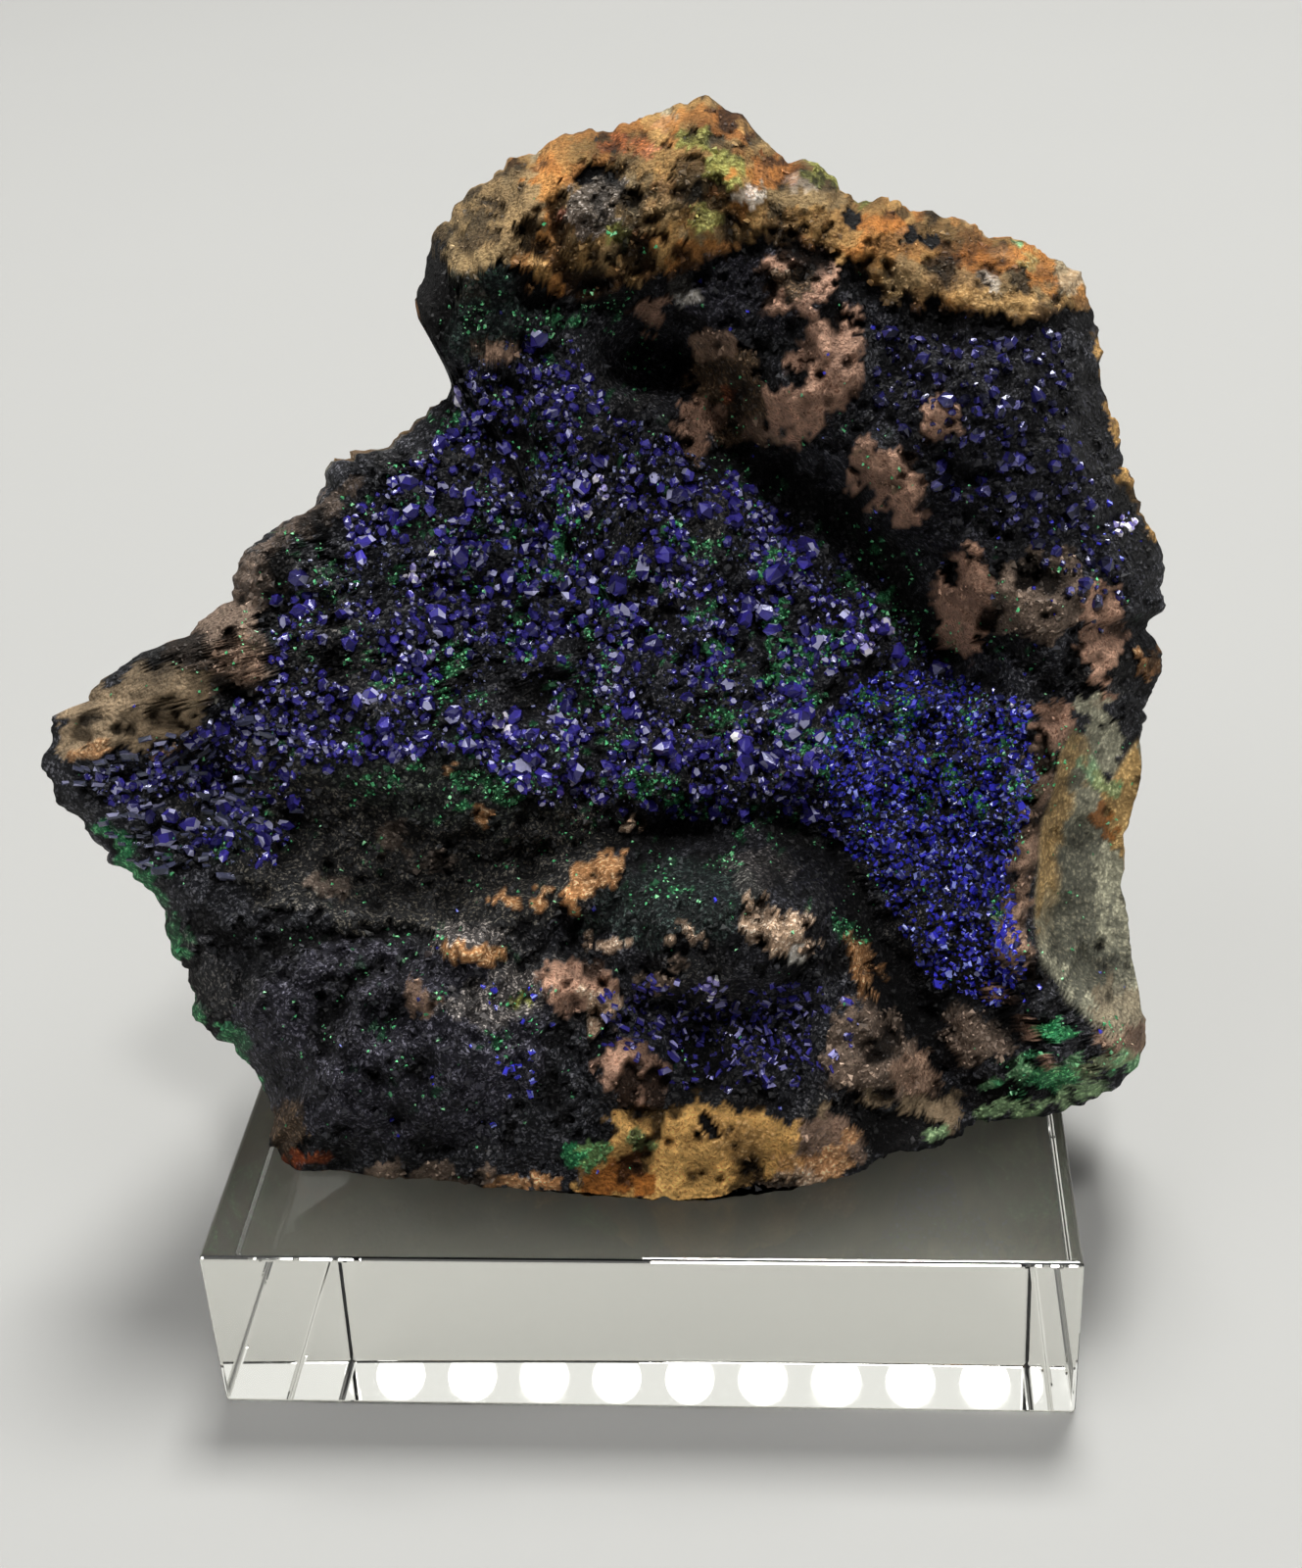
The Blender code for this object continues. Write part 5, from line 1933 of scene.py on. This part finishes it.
@dataclass
class Studio:
    """Floor, lights and camera."""

    floor_radius: float = 1.3
    wall: float = 0.5               # height of the wall it curves up into
    gap: float = 0.00005            # between the block and the floor
    floor_rings: int = 14
    wall_rings: int = 10
    spokes: int = 96
    eye: tuple[float, float, float] = (11.7, -119.5, 95.8)
    lens: float = 50.96
    lamps: int = 13                 # in the row far behind
    lamp_gap: float = 0.112

    def build(self, face: Face) -> None:
        """Set up everything that isn't the object."""
        self.floor()
        self.lights()
        self.camera(face)

    def floor(self) -> None:
        """A round floor that curves up into a low wall: a profile turned about the middle."""
        rise = np.linspace(0.0, math.pi / 2.0, self.wall_rings)[1:]
        flat = np.linspace(0.02, self.floor_radius, self.floor_rings)
        radius = np.concatenate((flat, self.floor_radius + self.wall * np.sin(rise)))
        height = np.concatenate((np.zeros(len(flat)), self.wall * (1.0 - np.cos(rise))))
        turn = np.linspace(0.0, FULL_TURN, self.spokes + 1)[:-1]
        points = np.stack((
            radius[:, None] * np.cos(turn), radius[:, None] * np.sin(turn),
            np.repeat(height[:, None] - self.gap, len(turn), axis=1),
        ), axis=-1).reshape(-1, 3)
        points = np.vstack((points, (0.0, 0.0, -self.gap)))
        size, index = len(turn), np.arange(len(turn))
        triangles = [np.column_stack((np.full(size, len(points) - 1), index, np.roll(index, -1)))]
        for level in range(len(radius) - 1):
            triangles.append(strip(level * size + index, (level + 1) * size + index))
        made = mesh_object(
            "studio_floor", points / MM, np.concatenate(triangles), PaperFinish().make(), smooth=True,
        )

    def area_light(
        self, name: str, place: Sequence[float], size: float, power: float, colour: Colour,
        shape: str = "SQUARE", depth: float = 0.1,
    ) -> None:
        """A soft light that faces the object's middle.

        Args:
            name: its name.
            place: where it stands, in metres.
            size: its width.
            power: watts.
            colour: its colour.
            shape: SQUARE, DISK or RECTANGLE.
            depth: a rectangle's second side.
        """
        lamp = bpy.data.lights.new(name, "AREA")
        lamp.shape = shape
        lamp.size, lamp.size_y, lamp.energy, lamp.color = size, depth, power, colour
        made = bpy.data.objects.new(name, lamp)
        bpy.context.scene.collection.objects.link(made)
        aim = np.array((0.0, 0.0, 0.03)) - np.array(place)
        away = -aim / np.linalg.norm(aim)
        side = np.cross((0.0, 1.0, 0.001), away)
        side /= np.linalg.norm(side)
        axes = np.stack((side, np.cross(away, side), away), axis=1)
        matrix = np.eye(4)
        matrix[:3, :3], matrix[:3, 3] = axes, place
        made.matrix_world = Matrix(matrix.tolist())

    def lights(self) -> None:
        """A row of dim lamps and a strip far behind, softboxes behind, in front, on the left and
        above, and dim surroundings."""
        warm = (1.0, 0.995, 0.97)
        for number in range(self.lamps):
            side = (number - (self.lamps - 1) / 2.0) * self.lamp_gap
            self.area_light(f"rear lamp {number}", (side, 2.4, 2.35), 0.075, 0.014, warm, "DISK")
        for values in (
            ("rear strip", (0.0, 2.5, 2.45), 3.6, 4.55, (1.0, 1.0, 0.985), "RECTANGLE", 0.55),
            ("rear softbox", (0.10, 0.55, 1.30), 0.45, 26.0, warm),
            ("key softbox", (0.10, -0.42, 0.85), 0.12, 3.5, (1.0, 0.99, 0.97)),
            ("left softbox", (-0.50, -0.30, 0.80), 0.60, 1.75, (1.0, 0.99, 0.98)),
            ("upper softbox", (0.35, -0.15, 0.95), 0.50, 1.35, (1.0, 0.99, 0.98)),
        ):
            self.area_light(*values)
        world = bpy.data.worlds.new("surroundings")
        world.use_nodes = True
        backing = world.node_tree.nodes["Background"]
        backing.inputs["Color"].default_value = (0.98, 0.99, 1.0, 1.0)
        backing.inputs["Strength"].default_value = 0.14
        bpy.context.scene.world = world

    def camera(self, face: Face) -> None:
        """The camera looks square at the rock's face from a little above.

        Args:
            face: the face's frame, which the camera looks at.
        """
        across, up, inward = face.axes()
        data = bpy.data.cameras.new("camera")
        data.lens, data.sensor_width = self.lens, 36.0
        data.clip_start, data.clip_end = 0.005, 10.0
        made = bpy.data.objects.new("camera", data)
        matrix = np.eye(4)
        matrix[:3, :3] = np.stack((across, up, -inward), axis=1)
        matrix[:3, 3] = np.array(self.eye) * MM
        made.matrix_world = Matrix(matrix.tolist())
        bpy.context.scene.collection.objects.link(made)
        bpy.context.scene.camera = made


MALACHITE_SPOTS = ovals(
    (-3.4, 26.6, 3.2, 2.1, 0, 0.9), (-12, 21.2, 1.7, 1.5, 0, 0.9), (-12, 6.9, 4, 1.5, 0, 0.8),
    (-6, 13.8, 2.9, 1.5, 0, 0.7), (6.6, 10.2, 3.2, 2.2, -10, 3.2), (1.5, 14.6, 1.3, 1, 0, 1.8),
    (4.6, 12.1, 1.7, 1.4, 0, 1), (11.5, 2.5, 1.5, 1.1, 20, 6), (10.4, 4.2, 3.2, 1.9, 10, 2.8),
    (0.2, 0.4, 2.2, 1.6, 0, 1.8), (-2.8, 8.9, 2.4, 1.2, 0, 1.4), (2, -7.2, 4, 1.5, 10, 0.1),
    (2, -2, 2.5, 0.9, 0, 1), (17.2, 1.1, 4.4, 2, 0, 1.8), (20.6, -1.8, 1.2, 2.6, 0, 0.9),
    (21, -7.7, 1, 1.6, 0, 1.6), (-14, 1.1, 6.9, 2.3, -5, 0.5), (-9.4, -1.1, 3.4, 1.4, 0, 0.5),
    (-25.5, -3.4, 3.4, 1, 30, 0.8), (11.4, -8.3, 0.5, 1.9, 50, 1.6), (-10, 28, 1.4, 1.4, 0, 0.8),
    (-1.4, 31.9, 0.9, 1.1, 0, 0.6), (1.5, -16.1, 1.4, 0.6, 0, 0.5), (0, 9, 21, 10, -15, 0.5),
    (24.3, -15.9, 4.5, 1.5, 12, 0.5), (-12, -14, 9, 5, 0, 0.2), (-16, -3, 9, 3, -8, 0.2),
    (4.2, -4.6, 1.6, 0.5, 20, 0.8), (0.9, -6.5, 1.4, 1.3, 0, 0.4), (15.5, 6, 1.2, 1, 0, 1.2),
)
MALACHITE_TUFTS = Bed(
    "malachite_tufts", (bead_habit(),), OUTLINE, 0.24, (0.14, 0.36), (0.6, 1.3), Grains.MALACHITE,
    28, cover=1.0, clusters=(1.25, 0.01, 0.24), spots=MALACHITE_SPOTS, skew=0.1,
)
LOWER_SPOTS = ovals((6, -14.4, 4.6, 3, -10, 1.5), (-0.8, -13.2, 2.5, 2, 0, 0.45))
AZURITE_SPOTS = ovals(
    (-8.4, -18, 4.5, 4.4, 0, 1.3), (15, -20.3, 4.4, 1.5, 12, 1), (27.3, 15, 2, 7.5, -10, 5),
    (27.9, 5, 1.3, 1.5, 0, 2.5), (0, 5, 30, 25, 0, 0.22), (-11, 26, 2.5, 2, 0, 0.7),
    (23.3, -11.9, 1.2, 1.5, 0, 2), (8.6, -19, 1.2, 1.2, 0, 1), (-2, -13.2, 0.9, 1.4, 0, 1),
    (25.1, 5, 0.9, 0.7, 0, 2), (27, 2, 0.9, 2, 0, 1), (-28, 0, 5, 2.5, 0, 0.5),
    (13.8, -17.4, 1.5, 3, 0, 0.4), (16.6, -16, 0.7, 2.4, 0, 1),
)
# Places of the painted glints: near-white crystals that stand in for glints of light.
PAINTED_GLINT_SPOTS = ovals(*((*place, 0.4, 0.4, 0.0, 4.0) for place in (
    (-13.7, 12.3), (-12.6, 12.9), (-4.3, 16.2), (-3.1, 17.5), (1.2, 11.5), (5.3, 2.9), (27.7, 15.3),
    (-13.2, 7.7), (12.4, 8.3), (13.5, 9.2), (-8.6, 3.4), (3.6, -11.9), (-11.4, 22.6), (21.4, 4.6),
)))


@dataclass
class Specimen:
    """The whole specimen."""

    form: RockForm = field(default_factory=RockForm)
    minerals: MineralMap = field(default_factory=MineralMap)

    def dress(self, made: bpy.types.Object, slot: str, *nodes: str) -> None:
        """Give a piece its body, hide the solids that it replaces and log its triangles.

        Args:
            made: the piece.
            slot: not used.
            nodes: the solids that it replaces.
        """
        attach(made, "root")
        if nodes:
            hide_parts(*nodes)
        log.info("%s: %d triangles", made.name, len(made.data.polygons))

    def build(self) -> None:
        """Build every piece in order."""
        self.dress(AcrylicBlock().build(), "clear_acrylic", "acrylic_base")
        rock = Rock(self.form, self.minerals)
        self.dress(rock.build(), "limonite_rock", "matrix_rock")
        self.crystals(rock)

    def crystals(self, rock: Rock) -> None:
        """Grow the beds of crystals and grains on the rock.

        Args:
            rock: the rock, already built.
        """
        azurite = CrystalFinish("azurite").make()
        prism, chisel = prism_habit(0.62, 0.5), prism_habit(0.3, 0.7)
        block, bead = block_habit(), bead_habit()
        large, small = (prism, prism, chisel), (block, bead)
        beds = (
            (Bed("azurite_druse_large", large, MAIN_CRUST, 1.15, (0.7, 1.45), (0.6, 1.0),
                 Azurite.INDIGO, 21, cover=0.8, clusters=(2.2, -0.3, 0.1), without=BOWL), "azurite_crust"),
            (Bed("azurite_druse_medium", large, MAIN_CRUST, 0.50, (0.35, 0.85), (0.6, 1.1),
                 Azurite.INDIGO, 22, clusters=(1.7, -0.22, 0.12), without=BOWL), None),
            (Bed("azurite_druse_fine", small, MAIN_CRUST, 0.34, (0.14, 0.36), (0.6, 1.2),
                 Azurite.HAZE, 26, cover=0.85, clusters=(2.0, -0.4, 0.3), greenest=0.02), None),
            (Bed("azurite_bowl", small, BOWL, 0.29, (0.2, 0.55), (0.8, 1.4),
                 Azurite.ROYAL, 23, cover=0.9), None),
            (Bed("upper_azurite_druse", large, UPPER_CRUST, 0.70, (0.35, 1.1), (0.6, 1.2),
                 Azurite.NIGHT, 24, cover=0.75), "upper_azurite_crust"),
            (Bed("lower_azurite_druse", (block,), LOWER_CRUST, 0.44, (0.24, 0.58), (0.5, 0.9),
                 Azurite.LILAC, 25, clusters=(2.5, -0.8, 0.0), spots=LOWER_SPOTS, slender=1.3),
             "lower_azurite_crust"),
            (Bed("azurite_blades", (block,), LEFT_FACE, 0.56, (0.3, 0.66), (0.5, 0.9),
                 Azurite.SLATE, 30, cover=0.8, clusters=(2.0, -0.5, 0.2), slender=1.8,
                 combed=0.85), None),
            (Bed("azurite_scatter", small, OUTLINE, 0.6, (0.15, 0.5), (0.6, 1.2),
                 Azurite.ROYAL, 27, cover=0.5, clusters=(2.5, 0.1, 0.5), spots=AZURITE_SPOTS), None),
            (Bed("azurite_painted_glints", (prism,), OUTLINE, 0.5, (0.45, 0.85), (0.7, 1.0),
                 Azurite.BRIGHT, 33, spots=PAINTED_GLINT_SPOTS), None),
        )
        for bed, node in beds:
            self.dress(bed.build(rock, azurite), "azurite", *((node,) if node else ()))
        self.dress(MALACHITE_TUFTS.build(rock, GrainFinish("malachite", 0.5).make()), "azurite")
        crumb_finish = GrainFinish("crumbs", 0.7).make()
        for name, spacing, size, seed in (
            ("rock_crumbs", 0.42, (0.2, 0.55), 29), ("rock_dust", 0.37, (0.12, 0.26), 31),
        ):
            crumbs = Crumbs(
                name, (bead,), OUTLINE, spacing, size, (0.6, 1.1), Grains.PLAIN, seed,
                cover=0.85, skew=0.12,
            )
            self.dress(crumbs.build(rock, crumb_finish), "limonite_rock")


def corners(box: Sequence[Any]) -> list[list[float]]:
    """A box's two corners as plain lists."""
    return [list(corner) for corner in box]


def main() -> None:
    """Build the specimen and its studio, and note the sizes."""
    logging.basicConfig(level=logging.INFO, format="%(message)s")
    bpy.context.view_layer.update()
    specimen = Specimen()
    specimen.build()
    Studio().build(specimen.form.face)
    bpy.context.scene.view_settings.view_transform = "Standard"


if __name__ == "__main__":
    main()
